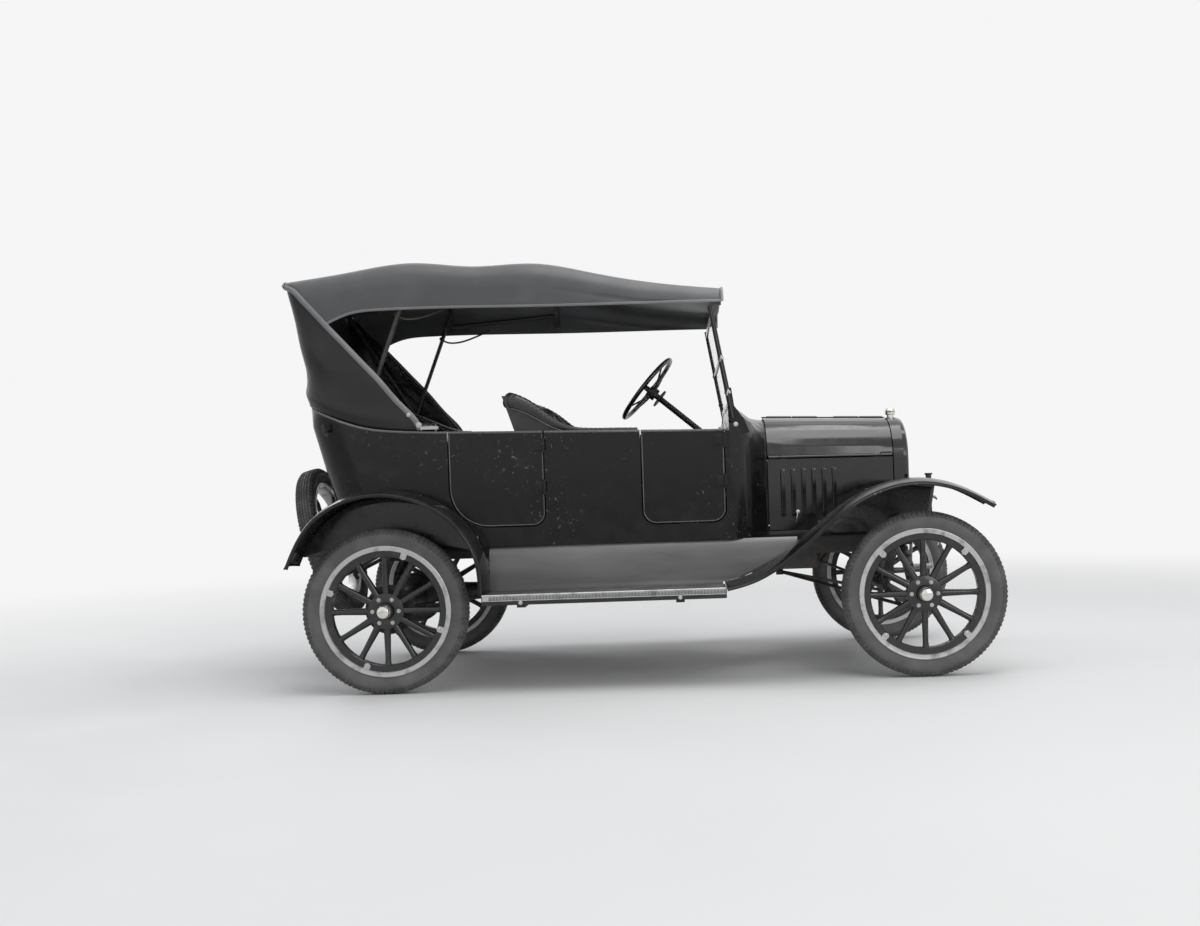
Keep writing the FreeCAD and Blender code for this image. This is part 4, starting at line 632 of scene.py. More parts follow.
# %% [markdown]
# A wheel of this age is a hub, twelve hickory spokes, a wood felloe and a steel rim. Spokes are
# oval and thicken at both ends, where they bear on the hub and the felloe. Everything is set out
# by distance from the axle, angle and distance outwards, so one recipe makes all four wheels.

# %% Wheels
tyre_radius = 390.0
wheel_out = 711.0
spoke_count = 12
flange_face = 22
lug_count = 4
lug_reach = 274
rib_count = 144


def wheel_spot(x, side):
    def place(reach, angle, out):
        across = side * (wheel_out + out)
        return at(x + reach * math.cos(angle), across, tyre_radius + reach * math.sin(angle))
    return place


def wheel_matrix(x, side):
    def matrix_at(out):
        return set_on(at(x, side * wheel_out + out, tyre_radius), (0, 1, 0))
    return matrix_at


def spun(profile, place, steps=96):
    rows = []
    for number in range(steps):
        angle = 2 * math.pi * number / steps
        rows.append([place(reach, angle, out) for reach, out in profile])
    return grid(rows, close_rows=True, close_points=True)


def spoke(place, angle):
    # Distance from the axle, half the width and half the depth
    sections = ((58, 11, 17), (78, 17.5, 18), (92, 17.5, 17), (118, 16.5, 16), (165, 15, 15),
                (215, 13.8, 14), (240, 14.5, 15), (254, 17, 18))
    rows = []
    for reach, half_wide, half_deep in sections:
        row = []
        for number in range(12):
            turn_angle = 2 * math.pi * number / 12
            sideways = half_wide * math.cos(turn_angle)
            bearing = angle + math.atan2(sideways, reach)
            row.append(place(math.hypot(reach, sideways), bearing, half_deep * math.sin(turn_angle)))
        rows.append(row)
    return grid(rows, close_points=True, cap=True)


felloe_profile = [(254, -18), (257, -21), (284, -22), (287, -20), (287, 20), (284, 22), (257, 21), (254, 18)]
rim_profile = [(287, -32), (300, -32), (306, -33.5), (309.5, -32), (309.5, -29), (305, -28),
               (302.5, -24), (302.5, 24), (305, 28), (309.5, 29), (309.5, 32), (306, 33.5),
               (300, 32), (287, 32), (285, 28), (285, -28)]
flange_profile = [(40, 22), (80, 22), (84, 20), (84, 14), (84, -20), (40, -20)]
barrel_profile = [(0, 22), (38, 22), (38, 56), (35, 60), (33, 61), (0, 61)]
cap_profile = [(0, 58), (31, 58), (32, 62), (31, 64), (29, 66), (29, 78), (27, 83), (20, 86.5),
               (8, 88), (0, 88)]
inner_profile = [(0, -20), (46, -20), (46, -56), (42, -60), (0, -60)]


def add_wheel(label, x, side, first_lug, body):
    place = wheel_spot(x, side)
    node = "wheel_" + label
    shapes = [spun(felloe_profile, place)]
    for number in range(spoke_count):
        shapes.append(spoke(place, 2 * math.pi * number / spoke_count))
    add_piece("spokes_" + label, joined(shapes), spoke_paint, body, nodes=(node,))
    add_piece("rim_" + label, spun(rim_profile, place), rim_steel, body)
    hub = joined([spun(flange_profile, place), spun(barrel_profile, place), spun(inner_profile, place)])
    add_piece("hub_" + label, hub, spoke_paint, body)
    add_piece("hub_cap_" + label, spun(cap_profile, place, 48), cap_nickel, body)
    outward = set_on(at(x, side * (wheel_out + flange_face), tyre_radius), (0, side, 0))
    bolts = repeated(ring_tree, hex_head(13, 8), 6, 0.062, bright_steel, outward)
    lugs = []
    for number in range(lug_count):
        angle = math.radians(first_lug + 360 / lug_count * number)
        clamp = []
        for out in (flange_face, 31):
            for rise, along in ((-12, -15), (22, -13), (22, 13), (-12, 15)):
                clamp.append(place(lug_reach + rise, angle + along / lug_reach, out))
        lugs.append((clamp, box_faces))
        lugs.append(moved(hex_head(17, 8), set_on(place(268, angle, 31), (0, side, 0))))
    valve_angle = math.radians(first_lug + 28)
    valve_line = [place(reach, valve_angle, out) for reach, out in ((286, 0), (258, 8), (238, 14))]
    valve = tube(valve_line, 3.5, 8)
    add_piece("wheel_bolts_" + label, joined([bolts, valve] + lugs), bright_steel, body)


tyre_profile = [(303.5, 0), (303.5, 26), (308, 27), (318, 33), (330, 40), (342, 44.5), (352, 46),
                (362, 45), (371, 41.5), (378, 37.5), (380, 33.5), (385.5, 32), (387.3, 24),
                (383.5, 22.5), (383.5, 19.5), (388.4, 18), (389.2, 9.5), (385, 8), (385, 5),
                (389.8, 3.5), (390, 0)]
tyre_profile = tyre_profile + [(reach, -out) for reach, out in tyre_profile[-2:0:-1]]
shoulder_count = 104
shoulder_ring = 380
shoulder_outline = ((388.8, 22), (388.3, 33), (380, 42.8), (366, 47.6), (363, 45), (374, 36))


def shoulder_block(way):
    # One lug that comes down over the tyre's shoulder, as metres from the ring's own circle
    near = []
    for reach, out in shoulder_outline:
        near.append(Vector(((reach - shoulder_ring) / 1000, -0.0062, way * out / 1000)))
    far = [Vector((p.x, 0.0062, p.z)) for p in near]
    return grid([near, far], close_points=True, cap=True)


def add_tyre(label, place, body, node, matrix_at):
    add_piece("carcass_" + label, spun(tyre_profile, place, 128), tyre_rubber, body,
              nodes=(node,), angle=50)
    blocks = []
    for way in (-1, 1):
        blocks.append(repeated(ring_tree, shoulder_block(way), shoulder_count, shoulder_ring / 1000,
                               tread_rubber, matrix_at(0)))
    ribs = small_box(-0.002, 0.0022, -0.0042, 0.0042, -0.004, 0.004, 0.9)
    for out in (-13.8, 13.8):
        blocks.append(repeated(ring_tree, ribs, rib_count, 0.3876, tread_rubber, matrix_at(out)))
    add_piece("tread_" + label, joined(blocks), tread_rubber, body, angle=20)


wheels = (
    ("front_right", front_axle_x, -1, 45.0),
    ("front_left", front_axle_x, 1, 45.0),
    ("rear_right", rear_axle_x, -1, -20.0),
    ("rear_left", rear_axle_x, 1, -20.0),
)
for label, x, side, first_lug in wheels:
    body = label + "_wheel"
    add_wheel(label, x, side, first_lug, body)
    add_tyre(label, wheel_spot(x, side), body, "tyre_" + label, wheel_matrix(x, side))
print("wheels:", len(wheels), "with tread of", shoulder_count * 2 + rib_count * 2, "blocks each")

# %% [markdown]
# The spare hangs behind the body on two upright bars. It leans back by almost fifteen degrees and
# carries only a rim, because on this car the rim comes off the felloe with its tyre.

# %% Spare tyre
spare_lean = math.radians(14.7)
spare_up = Vector((-math.sin(spare_lean), 0, math.cos(spare_lean)))
spare_out = Vector((-math.cos(spare_lean), 0, -math.sin(spare_lean)))
spare_centre = at(-1707.0, 0, 700.0)


def spare_place(reach, angle, out):
    flat = Vector((0, 1, 0)) * math.cos(angle) + spare_up * math.sin(angle)
    return spare_centre + (flat * reach + spare_out * out) / 1000


def spare_matrix(out):
    return set_on(spare_centre + spare_out * out / 1000, spare_out)


add_tyre("spare", spare_place, "car", "spare_tyre", spare_matrix)
add_piece("spare_rim_dressed", spun(rim_profile, spare_place), rim_steel, "car",
          nodes=("spare_rim",))
print("spare tyre at", [round(v, 3) for v in spare_centre])

# %% [markdown]
# The fenders follow the same lines as the solids, but here the line is a smooth curve with many
# stations. Each station is a shallow crown square to the line, and the outer edge is rolled round
# a wire. That rolled edge is the bright thread of light along every fender in the photograph.

# %% Fenders
front_path = [(1592, 802), (1435, 883), (1230, 921), (981, 855), (800, 730), (641, 598), (449, 487),
              (336.3, 458)]
rear_path = [(-1709, 613), (-1600, 808), (-1410, 926), (-1240, 945), (-1011, 874), (-872, 749),
             (-812, 620), (-798, 458.9)]
fender_outer = 838.0
front_inner = 585.0
rear_inner = 604.0
fender_crown = 18.0
station_count = 72
apron_top_out = 586.5
apron_foot_out = 337.0
apron_foot_z = 664.0
skirt_foot_z = 650.0


def stations(path, count):
    # Places along the line, each with the direction that is square to it and outwards
    line = smooth_curve([(x, 0, z) for x, z in path], count)
    turn_sign = -1 if path[0][0] > path[-1][0] else 1
    found = []
    for i, spot in enumerate(line):
        way = (line[min(i + 1, count)] - line[max(i - 1, 0)]).normalized()
        found.append((spot, Vector((-way.z, 0, way.x)) * turn_sign))
    return found


def crown_rise(share):
    return fender_crown * (1 - (2 * share - 1) ** 2)


def fender_sheet(path, inner):
    rows = []
    for spot, up in stations(path, station_count):
        row = []
        for number in range(13):
            share = number / 12
            place = spot + up * crown_rise(share)
            row.append(at(place.x, -(inner + (fender_outer - inner) * share), place.z))
        for drop in (4, 8, 12):
            place = spot - up * drop
            row.append(at(place.x, -fender_outer, place.z))
        rows.append(row)
    return grid(rows)


def rolled_edge(path, out, drop, radius):
    line = []
    for spot, up in stations(path, station_count):
        place = spot - up * drop
        line.append(at(place.x, -out, place.z))
    return tube(line, radius, 10)


def crown_bead(path, inner, radius, index):
    spot, up = stations(path, station_count)[index]
    line = []
    for number in range(13):
        share = number / 12
        place = spot + up * (crown_rise(share) - 2)
        line.append(at(place.x, -(inner + (fender_outer - inner) * share), place.z))
    return tube(line, radius, 8)


front_skin = fender_sheet(front_path, front_inner)
rear_skin = fender_sheet(rear_path, rear_inner)
inner_rows = []
for spot, _ in stations(front_path, station_count):
    if 690 < spot.x < 1370:
        row = []
        for number in range(9):
            share = number / 8
            dip = 10 * math.sin(math.pi * share)
            out = apron_top_out + (apron_foot_out - apron_top_out) * share
            row.append(at(spot.x, -out, spot.z - 2 + (apron_foot_z - spot.z) * share - dip))
        inner_rows.append(row)
add_piece("front_fender_sheets", joined(both_sides([front_skin])), fender_enamel,
          nodes=("front_fenders",), wall=3.0)
add_piece("front_fender_aprons", joined(both_sides([grid(inner_rows)])), fender_enamel, wall=3.0)
skirt_rows = []
for spot, _ in stations(rear_path, station_count):
    if spot.z > skirt_foot_z + 5:
        rise = spot.z - 1 - skirt_foot_z
        skirt_rows.append([at(spot.x, -605.0, skirt_foot_z + rise * number / 6) for number in range(7)])
add_piece("rear_fender_sheets", joined(both_sides([rear_skin])), fender_enamel,
          nodes=("rear_fenders",), wall=3.0)
add_piece("rear_fender_skirts", joined(both_sides([grid(skirt_rows)])), fender_enamel, wall=3.0)
apron_line = []
for spot, up in stations(front_path, station_count):
    if 345 < spot.x < 688:
        place = spot - up * 6
        apron_line.append(at(place.x, -621.0, place.z))
edges = both_sides([
    tube(apron_line, 9.0, 10),
    rolled_edge(front_path, 836.5, 12, 5.5), rolled_edge(rear_path, 836.5, 12, 5.5),
    crown_bead(front_path, front_inner, 4.5, 0), crown_bead(rear_path, rear_inner, 4.5, 0),
    rolled_edge(front_path, 586.0, 1, 3.5), rolled_edge(rear_path, 605.0, 1, 3.5),
])
add_piece("fender_rolled_edges", joined(edges), body_enamel)
fender_bolts = []
for path, inner, spots in ((front_path, front_inner, (30, 44, 60)), (rear_path, rear_inner, (22, 40, 58))):
    line = stations(path, station_count)
    for index in spots:
        spot, up = line[index]
        place = spot + up * 8
        fender_bolts.append(moved(hex_head(14, 5), set_on(at(place.x, -(inner + 26), place.z), up)))
add_piece("fender_bolts", joined(both_sides(fender_bolts)), dull_steel)
print("fender stations:", station_count + 1, "bolts:", len(fender_bolts) * 2)

# %% [markdown]
# The running boards are pressed steel covered in ribbed rubber, with a fluted metal strip along
# the outer edge. The flutes are only four millimetres wide, so they are a row made by the second tree.

# %% Running boards and splash aprons
board_rear = -802.0
board_front = 336.0
board_rib_count = 14
flute_count = 170
copy_of("running_boards", fender_enamel, 4.0)
# The splash aprons take the grey enamel, a painted reflection of the ground.
copy_of("splash_aprons", painted_reflection_enamel, 0, angle=70, merge_flat=False)
across_board = Matrix(((0, 1, 0, 0), (-1, 0, 0, 0), (0, 0, 1, 0), (0, 0, 0, 1)))
on_edge = Matrix(((1, 0, 0, 0), (0, 0, -1, 0), (0, 1, 0, 0), (0, 0, 0, 1)))
rib = small_box(-0.0045, 0.0045, 0, 1.118, 0, 0.0035, 0.6)
rib_start = Matrix.Translation(at(board_rear + 10, -644, 457.6)) @ across_board
ribs = repeated(row_tree, rib, board_rib_count, 0.172, board_rubber, rib_start)
flute = small_box(-0.0022, 0.0022, -0.0085, 0.0085, 0, 0.002, 0.55)
flute_start = Matrix.Translation(at(board_rear + 8, -838.2, 443)) @ on_edge
flutes = repeated(row_tree, flute, flute_count, 1.122, bright_steel, flute_start)
lip = tube([at(board_rear + 3, -836, 455), at(board_front - 3, -836, 455)], 4.5, 10)
foot = tube([at(board_rear + 3, -837.5, 431), at(board_front - 3, -837.5, 431)], 2.5, 8)
mat_corner = Matrix.Translation(at(board_rear + 4, -832, 457.9))
mat = moved(small_box(0, 1.13, 0, 0.196, 0, 0.0018, 0.998), mat_corner)
board_bolts = []
for x in (-620.0, 120.0):
    board_bolts.append(moved(hex_head(13, 5), set_on(at(x, -838, 420), (0, -1, 0))))
plate_place = Matrix.Translation(at(-782, -838, 441)) @ on_edge
board_plate = moved(small_box(-0.016, 0.016, -0.011, 0.011, 0, 0.003, 0.9), plate_place)
add_piece("board_rubber", joined(both_sides([mat, ribs])), board_rubber)
add_piece("board_edge_strips", joined(both_sides([flutes, lip, foot, board_plate])), rim_steel)
add_piece("board_bolts", joined(both_sides(board_bolts)), bright_steel)
print("board ribs:", board_rib_count, "flutes:", flute_count, "on each side")

# %% [markdown]
# The body is a tub of sheet steel over wood. The solids already have its walls, doors and hinges,
# so copies of them are used with a bevel. What the photograph adds is the half-round moulding
# that runs along the door tops, climbs behind the rear seat and goes round the back.

# %% Body, doors and mouldings
for node in ("body_shell", "door_front_right", "door_rear_right", "door_rear_left"):
    copy_of(node, body_enamel, 1.2, merge_flat=False)
belt_front = 378
belt_front_z = 1200
belt_bend = -1004
belt_bend_z = 1231
belt_points = [(belt_bend, 0, belt_bend_z), (-1224, 0, 1243), (-1374, 0, 1264), (-1522, 0, 1315),
               (-1700, 0, 1400)]
belt_rise = smooth_curve(belt_points, 60)


def belt_height(x):
    if x > belt_bend:
        rise = (belt_bend_z - belt_front_z) * (belt_front - x) / (belt_front - belt_bend)
        return belt_front_z + rise
    for a, b in zip(belt_rise[:-1], belt_rise[1:]):
        if b.x <= x <= a.x:
            return a.z + (b.z - a.z) * (x - a.x) / (b.x - a.x)
    return 1400.0


def body_half(z):
    return 600 + 8 * (z - 672) / 768


def body_back(z):
    if z < 1279:
        return -1501 - 163 * (z - 672) / 607
    return -1664 - 8 * (z - 1279) / 161


def body_out(x, z, corner=190.0):
    # How far the outer face of the tub is from the middle
    half = body_half(z)
    into = body_back(z) + corner - x
    if into <= 0:
        return half
    return half - corner + math.sqrt(max(corner ** 2 - into ** 2, 0))


def moulding(x0, x1, count, side, radius=6.0, drop=5.0):
    line = []
    for number in range(count + 1):
        x = x0 + (x1 - x0) * number / count
        z = belt_height(x) - drop
        line.append(at(x, side * (body_out(x, z) + 1), z))
    return tube(line, radius, 10)


right_body = [moulding(378, 358, 2, -1), moulding(-52, -510, 8, -1), moulding(-978, -1640, 44, -1)]
left_body = [moulding(378, -510, 12, 1), moulding(-978, -1640, 44, 1)]
x_side = -1640.0
z_side = belt_height(x_side) - 5
y_side = body_out(x_side, z_side) + 1
back_line = []
for number in range(41):
    angle = math.pi * (number / 40)
    bulge = min((1 - abs(math.cos(angle)) ** 2.4) * 1.15, 1)
    x = x_side + (body_back(1380) - 1 - x_side) * bulge
    z = z_side + (belt_height(-1673) - 5 - z_side) * bulge
    back_line.append(at(x, y_side * math.cos(angle), z))
# The belt and door-top mouldings are black on the car; their grey enamel is a painted highlight along the
# rounded edge.
add_piece("belt_moulding", joined(right_body + left_body + [tube(back_line, 6.0, 10)]), painted_reflection_enamel)
door_tops = (("front_right", 349, -46, -1), ("rear_right", -520, -972, -1), ("rear_left", -520, -972, 1))
for label, x0, x1, side in door_tops:
    add_piece("door_moulding_" + label, moulding(x0, x1, 8, side), painted_reflection_enamel,
              body_of_node["door_" + label])


def door_bead(rear, front, bottom, rear_corner, front_corner, side, inset=7.0):
    # A thin pressed bead just inside the door's edge
    x0 = rear + inset
    x1 = front - inset
    z0 = bottom + inset
    line = [(x0, belt_height(x0) - 14)]
    turns = ((rear_corner - inset, x0 + rear_corner - inset, 180),
             (front_corner - inset, x1 - front_corner + inset, 270))
    for corner, middle_x, start in turns:
        for number in range(13):
            angle = math.radians(start + 90 * number / 12)
            line.append((middle_x + corner * math.cos(angle), z0 + corner + corner * math.sin(angle)))
    line.append((x1, belt_height(x1) - 14))
    spots = []
    for a, b in zip(line[:-1], line[1:]):
        steps = max(1, int(math.hypot(b[0] - a[0], b[1] - a[1]) / 40))
        spots += [(a[0] + (b[0] - a[0]) * n / steps, a[1] + (b[1] - a[1]) * n / steps) for n in range(steps)]
    spots.append(line[-1])
    return tube([at(x, side * (body_half(z) + 0.2), z) for x, z in spots], 2.4, 8)


# Rear, front and lower edge of a door, and the radius of its lower rear and lower front corner
front_door = (-49.0, 354.0, 755.0, 66.0, 66.0)
rear_door = (-975.0, -515.0, 765.0, 190.0, 62.0)
door_edges = (("front_right", front_door, -1), ("rear_right", rear_door, -1), ("rear_left", rear_door, 1))
# The door beads, the false door's too, take the same grey enamel, a painted highlight along each rolled edge.
for label, sizes, side in door_edges:
    add_piece("door_bead_" + label, door_bead(*sizes, side), painted_reflection_enamel,
              body_of_node["door_" + label])
add_piece("false_door_bead", door_bead(*front_door, 1), painted_reflection_enamel)
cowl_bolts = []
for x, z in ((368, 1228), (412, 1222)):
    cowl_bolts.append(moved(hex_head(15, 6), set_on(at(x, -607, z), (0, -1, 0))))
rest_x = -1558.0
rest_out = body_out(rest_x, 1249)
rest = [tube([at(rest_x, -(rest_out - 4), 1249), at(rest_x - 6, -(rest_out + 34), 1252)], 7, 10)]
rest.append(tube([at(rest_x - 6, -(rest_out + 34), 1246), at(rest_x - 8, -(rest_out + 40), 1282)], 8, 10))
rest.append(moved(hex_head(30, 4), set_on(at(rest_x, -(rest_out - 3), 1249), (-0.3, -1, 0))))
add_piece("top_rests", joined(both_sides(rest)), frame_paint)
add_piece("cowl_bolts", joined(both_sides(cowl_bolts)), bright_steel)
print("belt heights at the doors:", round(belt_height(350)), round(belt_height(-515)))

# %% [markdown]
# The hood folds on three long hinges, one down the middle and one along each side. Its louvred
# sides are separate plates, held down by spring catches. The radiator behind its shell is a stack
# of thin fins, and the cap is the brightest thing on the whole car.

# %% Hood, radiator and cap
for node in ("hood_top_right", "hood_top_left"):
    copy_of(node, hood_enamel, 0.8, angle=32, merge_flat=False)
for node in ("hood_side_right", "hood_side_left"):
    copy_of(node, hood_enamel, 0.5, angle=14, merge_flat=False)
copy_of("hood_rests", frame_paint, 1.0)
copy_of("radiator_shell", hood_enamel, 1.6, angle=32)
copy_of("radiator_core", frame_paint, 0.6)
# How far each point of a louvre's lip lies back and out from the louvre's foot, and its height
louvre_lip = ((6, 1, 1003), (10, 7, 992), (11, 8.2, 975), (11, 8.2, 790), (10, 7, 768), (6, 1, 757))
louvre_count = 6
fin_count = 92
for side, body in ((-1, "hood_right_side"), (1, "hood_left_side")):
    catches = []
    for x in (712.0, 1130.0):
        out = 333 - (x - 576) * 0.055
        strap = [at(x, side * (out - 2), 728), at(x, side * (out + 6), 742), at(x + 4, side * (out + 8), 764),
                 at(x + 8, side * (out + 3), 782)]
        catches.append(tube(smooth_curve(strap, 12), 4.5, 8, 0.6))
        catches.append(moved(hex_head(16, 5, 1.2), set_on(at(x + 8, side * (out - 2), 784), (0, side, 0))))
    label = "right" if side < 0 else "left"
    add_piece("hood_catches_" + label, joined(catches), bright_steel, body)
    lips = []
    for number in range(louvre_count):
        x = 652.0 + 52.0 * number
        foot = 328 - (x - 576) * 36 / 633
        line = [at(x - back, side * (foot + out), z) for back, out, z in louvre_lip]
        lips.append(tube(smooth_curve(line, 28), 2.6, 8))
    add_piece("louvre_lips_" + label, joined(lips), fender_enamel, body)
fin = small_box(-0.0008, 0.0008, -0.242, 0.242, 0, 0.0045, 1.0)
stand_up = Matrix(((0, 0, 1, 0), (0, 1, 0, 0), (-1, 0, 0, 0), (0, 0, 0, 1)))
fins = repeated(row_tree, fin, fin_count, 0.4, dull_steel, Matrix.Translation(at(1263.5, 0, 1142)) @ stand_up)
add_piece("radiator_fins", fins, dull_steel)
cap_x = 1248
cap_outline = [(0, 1247), (19, 1247), (19, 1267), (25, 1268), (27.5, 1270), (27.5, 1278),
               (25, 1280.5), (23.5, 1282), (29, 1284), (30, 1287), (29, 1293), (25, 1298.5),
               (16, 1302), (6, 1303.5), (0, 1303.8)]
cap_rows = []
for number in range(48):
    angle = 2 * math.pi * number / 48
    cap_rows.append([at(cap_x + r * math.cos(angle), r * math.sin(angle), z) for r, z in cap_outline])
lug = small_box(-0.004, 0.005, -0.0055, 0.0055, -0.0045, 0.0045, 0.7)
lugs = repeated(ring_tree, lug, 6, 0.0285, cap_nickel, Matrix.Translation(at(cap_x, 0, 1289)))
add_piece("radiator_cap_dressed", joined([grid(cap_rows, close_rows=True), lugs]), cap_nickel,
          nodes=("radiator_cap",))
print("radiator fins:", fin_count)

# %% [markdown]
# The windshield has two panes in a black frame that leans back, with clamp knobs where the upper
# pane tilts. Glass and frame are taken from the solids, and the clamps and rubber are added.

# %% Windshield
copy_of("windshield_frame", body_enamel, 2.0)
frame["nodes"]["windshield_glass"].material_slots[0].material = clear_glass
frame["nodes"]["rear_window"].material_slots[0].material = clear_glass
lean = math.radians(9.8)


def screen_spot(y, height, forward=0.0):
    x = 388 - height * math.sin(lean) + forward * math.cos(lean)
    return at(x, y, 1318 + height * math.cos(lean) + forward * math.sin(lean))


post_y = 577.0
half_wing = Vector((0.004, 0, 0.016))
clamps = []
for y in (-post_y, post_y):
    way = (0, -1 if y < 0 else 1, 0)
    for height in (226.0, 60.0):
        spot = screen_spot(y, height)
        clamps.append(moved(hex_head(26, 9, 1.25), set_on(spot, way)))
        wing = spot + Vector(way) * 0.012
        clamps.append(tube([wing + half_wing, wing, wing - half_wing], [3, 6, 3], 8))
add_piece("windshield_clamps", joined(clamps), rim_steel)
posts = []
for y in (-post_y, post_y):
    line = [screen_spot(y, height) for height in (-66, 40, 160, 280, 400, 486)]
    posts.append(tube(line, [15, 14.5, 14, 13.5, 13, 12], 14, 0.8))
add_piece("windshield_posts", joined(posts), body_enamel, angle=60)
strip = tube([screen_spot(-556, 217, 7), screen_spot(556, 217, 7)], 3.5, 8)
sill = tube([screen_spot(-562, -4, 6), screen_spot(562, -4, 6)], 6, 8)
add_piece("windshield_rubber", joined([strip, sill]), tyre_rubber)
print("windshield clamps:", len(clamps) // 2)

# %% [markdown]
# The running gear needs little but the right iron. Copies of the solids keep each axle, spring and
# rod where it belongs, and their rough paint, oil and rust do the rest.

# %% Running gear and the rest of the iron
plain_copies = (
    ("front_axle", axle_paint, 1.5),
    ("knuckle_right", axle_paint, 1.5),
    ("knuckle_left", axle_paint, 1.5),
    ("tie_rod", axle_paint, 1.5),
    ("drag_link", axle_paint, 1.5),
    ("pitman_arm", axle_paint, 1.5),
    ("rear_axle", axle_paint, 1.5),
    ("chassis_frame", frame_paint, 1.5),
    ("leaf_springs", frame_paint, 1.5),
    ("spare_carrier", frame_paint, 1.5),
    ("lamp_brackets", frame_paint, 1.5),
    ("engine_block", engine_iron, 5.0),
    ("exhaust", engine_iron, 1.0),
    ("starting_crank", dull_steel, 1.0),
    ("fuel_tank", frame_paint, 4.0),
    ("steering_column", frame_paint, 0.8),
    ("pedals_and_levers", dull_steel, 1.0),
    ("floor_boards", floor_wood, 2.0),
    ("firewall", frame_paint, 0.8),
    ("instrument_panel", body_enamel, 1.5),
    ("seat_bases", frame_paint, 2.0),
    ("front_seat_shell", seat_hide, 2.0),
    ("top_bows", bow_wood, 1.5),
)
for node, material, bevel in plain_copies:
    copy_of(node, material, bevel)
clip_line = ((-29, 30), (-29, -14), (29, -14), (29, 30))
spring_clips = []
for x, top_z in ((front_axle_x, 566.0), (rear_axle_x, 578.0)):
    for y in (-60, 60):
        clip = [at(x + along, y, top_z + rise) for along, rise in clip_line]
        spring_clips.append(tube(clip, 6, 8))
add_piece("spring_clips", joined(spring_clips), dull_steel)
print("pieces copied here:", len(plain_copies))

# %% [markdown]
# The steering wheel is a wooden hoop on four iron arms. It turns with its own body, four times as
# fast as the road wheels.

# %% Steering wheel
hub = Vector((-34.0, 320.0, 1467.0))
column = Vector((0.7605, -0.056, -0.6475)).normalized()
wheel_across = column.cross(Vector((0, 1, 0))).normalized()
wheel_up = wheel_across.cross(column)


def hoop_spot(reach, angle, out):
    flat = wheel_across * math.cos(angle) + wheel_up * math.sin(angle)
    spot = hub + flat * reach - column * out
    return at(spot.x, spot.y, spot.z)


hoop_reach = 201
hoop_half = 13
hoop_profile = []
for number in range(14):
    turn_angle = 2 * math.pi * number / 14
    hoop_profile.append((hoop_reach + hoop_half * math.cos(turn_angle), 12.5 * math.sin(turn_angle)))
add_piece("steering_hoop", spun(hoop_profile, hoop_spot, 96), wheel_wood, "hand_wheel",
          nodes=("steering_wheel",))
arm_line = ((18, -34), (70, -31), (140, -16), (196, -3))
arms = []
for number in range(4):
    angle = math.radians(45 + 90 * number)
    line = [hoop_spot(reach, angle, out) for reach, out in arm_line]
    arms.append(tube(smooth_curve(line, 14), [10] * 5 + [8.5] * 5 + [7] * 5, 10, 0.6))
hub_profile = [(0, -61.5), (33, -61.5), (34, -58), (34, -16), (31, -12), (16, -10), (14, 16),
               (12, 20), (0, 21)]
arms.append(spun(hub_profile, hoop_spot, 40))
add_piece("steering_arms", joined(arms), frame_paint, "hand_wheel")
print("steering hoop radius:", hoop_reach + hoop_half, "mm")

# %% [markdown]
# The top is one big piece of coated cloth drawn over three bows. Its line from front to rear has
# two soft peaks, where the bows lift it, and it hangs straight down at each side as a valance.
# It is made as one grid of points: round each section first, and then along the car. Between the
# bows the cloth sinks a little, and near the windshield it is pulled into one long crease.

# %% Top cloth
roof_front = 364.0
roof_rear = -1755.0
roof_half = 590.0
cloth_thick = 2.5
roof_x = [roof_front + (roof_rear - roof_front) * number / 7 for number in range(8)]
roof_crests = (1888, 1940, 2006, 2070, 2066, 2092, 2050, 1998)
roof_edges = (1850, 1868, 1912, 1958, 1960, 1980, 1956, 1930)
crest_line = smooth_curve([(x, 0, z) for x, z in zip(roof_x, roof_crests)], 200)
edge_line = smooth_curve([(x, 0, z) for x, z in zip(roof_x, roof_edges)], 200)
hem_points = [(500, 0, 1812), (300, 0, 1815), (-517, 0, 1819), (-1284, 0, 1825), (-1436, 0, 1809),
              (-1547, 0, 1763)]
hem_line = smooth_curve(hem_points, 120) + [Vector((-1712, 0, 1951)), Vector((-1900, 0, 1951))]


def height_on(line, x):
    for a, b in zip(line[:-1], line[1:]):
        if b.x <= x <= a.x:
            return a.z + (b.z - a.z) * (x - a.x) / (b.x - a.x)
    return line[-1].z if x < line[-1].x else line[0].z


def roof_section(x, inset=0.0, count=36):
    # The crown from the right edge to the left edge, in the maker's millimetres
    half = roof_half - inset
    top = height_on(crest_line, x) - inset
    side = height_on(edge_line, x)
    right = [(0, -half, side - 30), (0, -half + 22, side + (top - side) * 0.42),
             (0, -half * 0.72, side + (top - side) * 0.82)]
    left = [(0, -y, z) for _, y, z in right[::-1]]
    return [(point.y, point.z) for point in smooth_curve(right + [(0, 0, top)] + left, count)]


def crease(x, z):
    # How far the long crease by the windshield draws the cloth in
    strength = min(max((x + 560) / 700, 0), 1)
    line_z = height_on(edge_line, x) - 42 - 10 * strength
    return 7.0 * strength * math.exp(-((z - line_z) / 13) ** 2)


def sag(x, y):
    # The cloth hangs a little between one bow and the next
    bows = (roof_front, roof_x[3], roof_x[5], roof_rear)
    for a, b in zip(bows[:-1], bows[1:]):
        if b <= x <= a:
            return 5.0 * math.sin(math.pi * (x - a) / (b - a)) ** 2 * (1 - (y / 600) ** 2)
    return 0.0


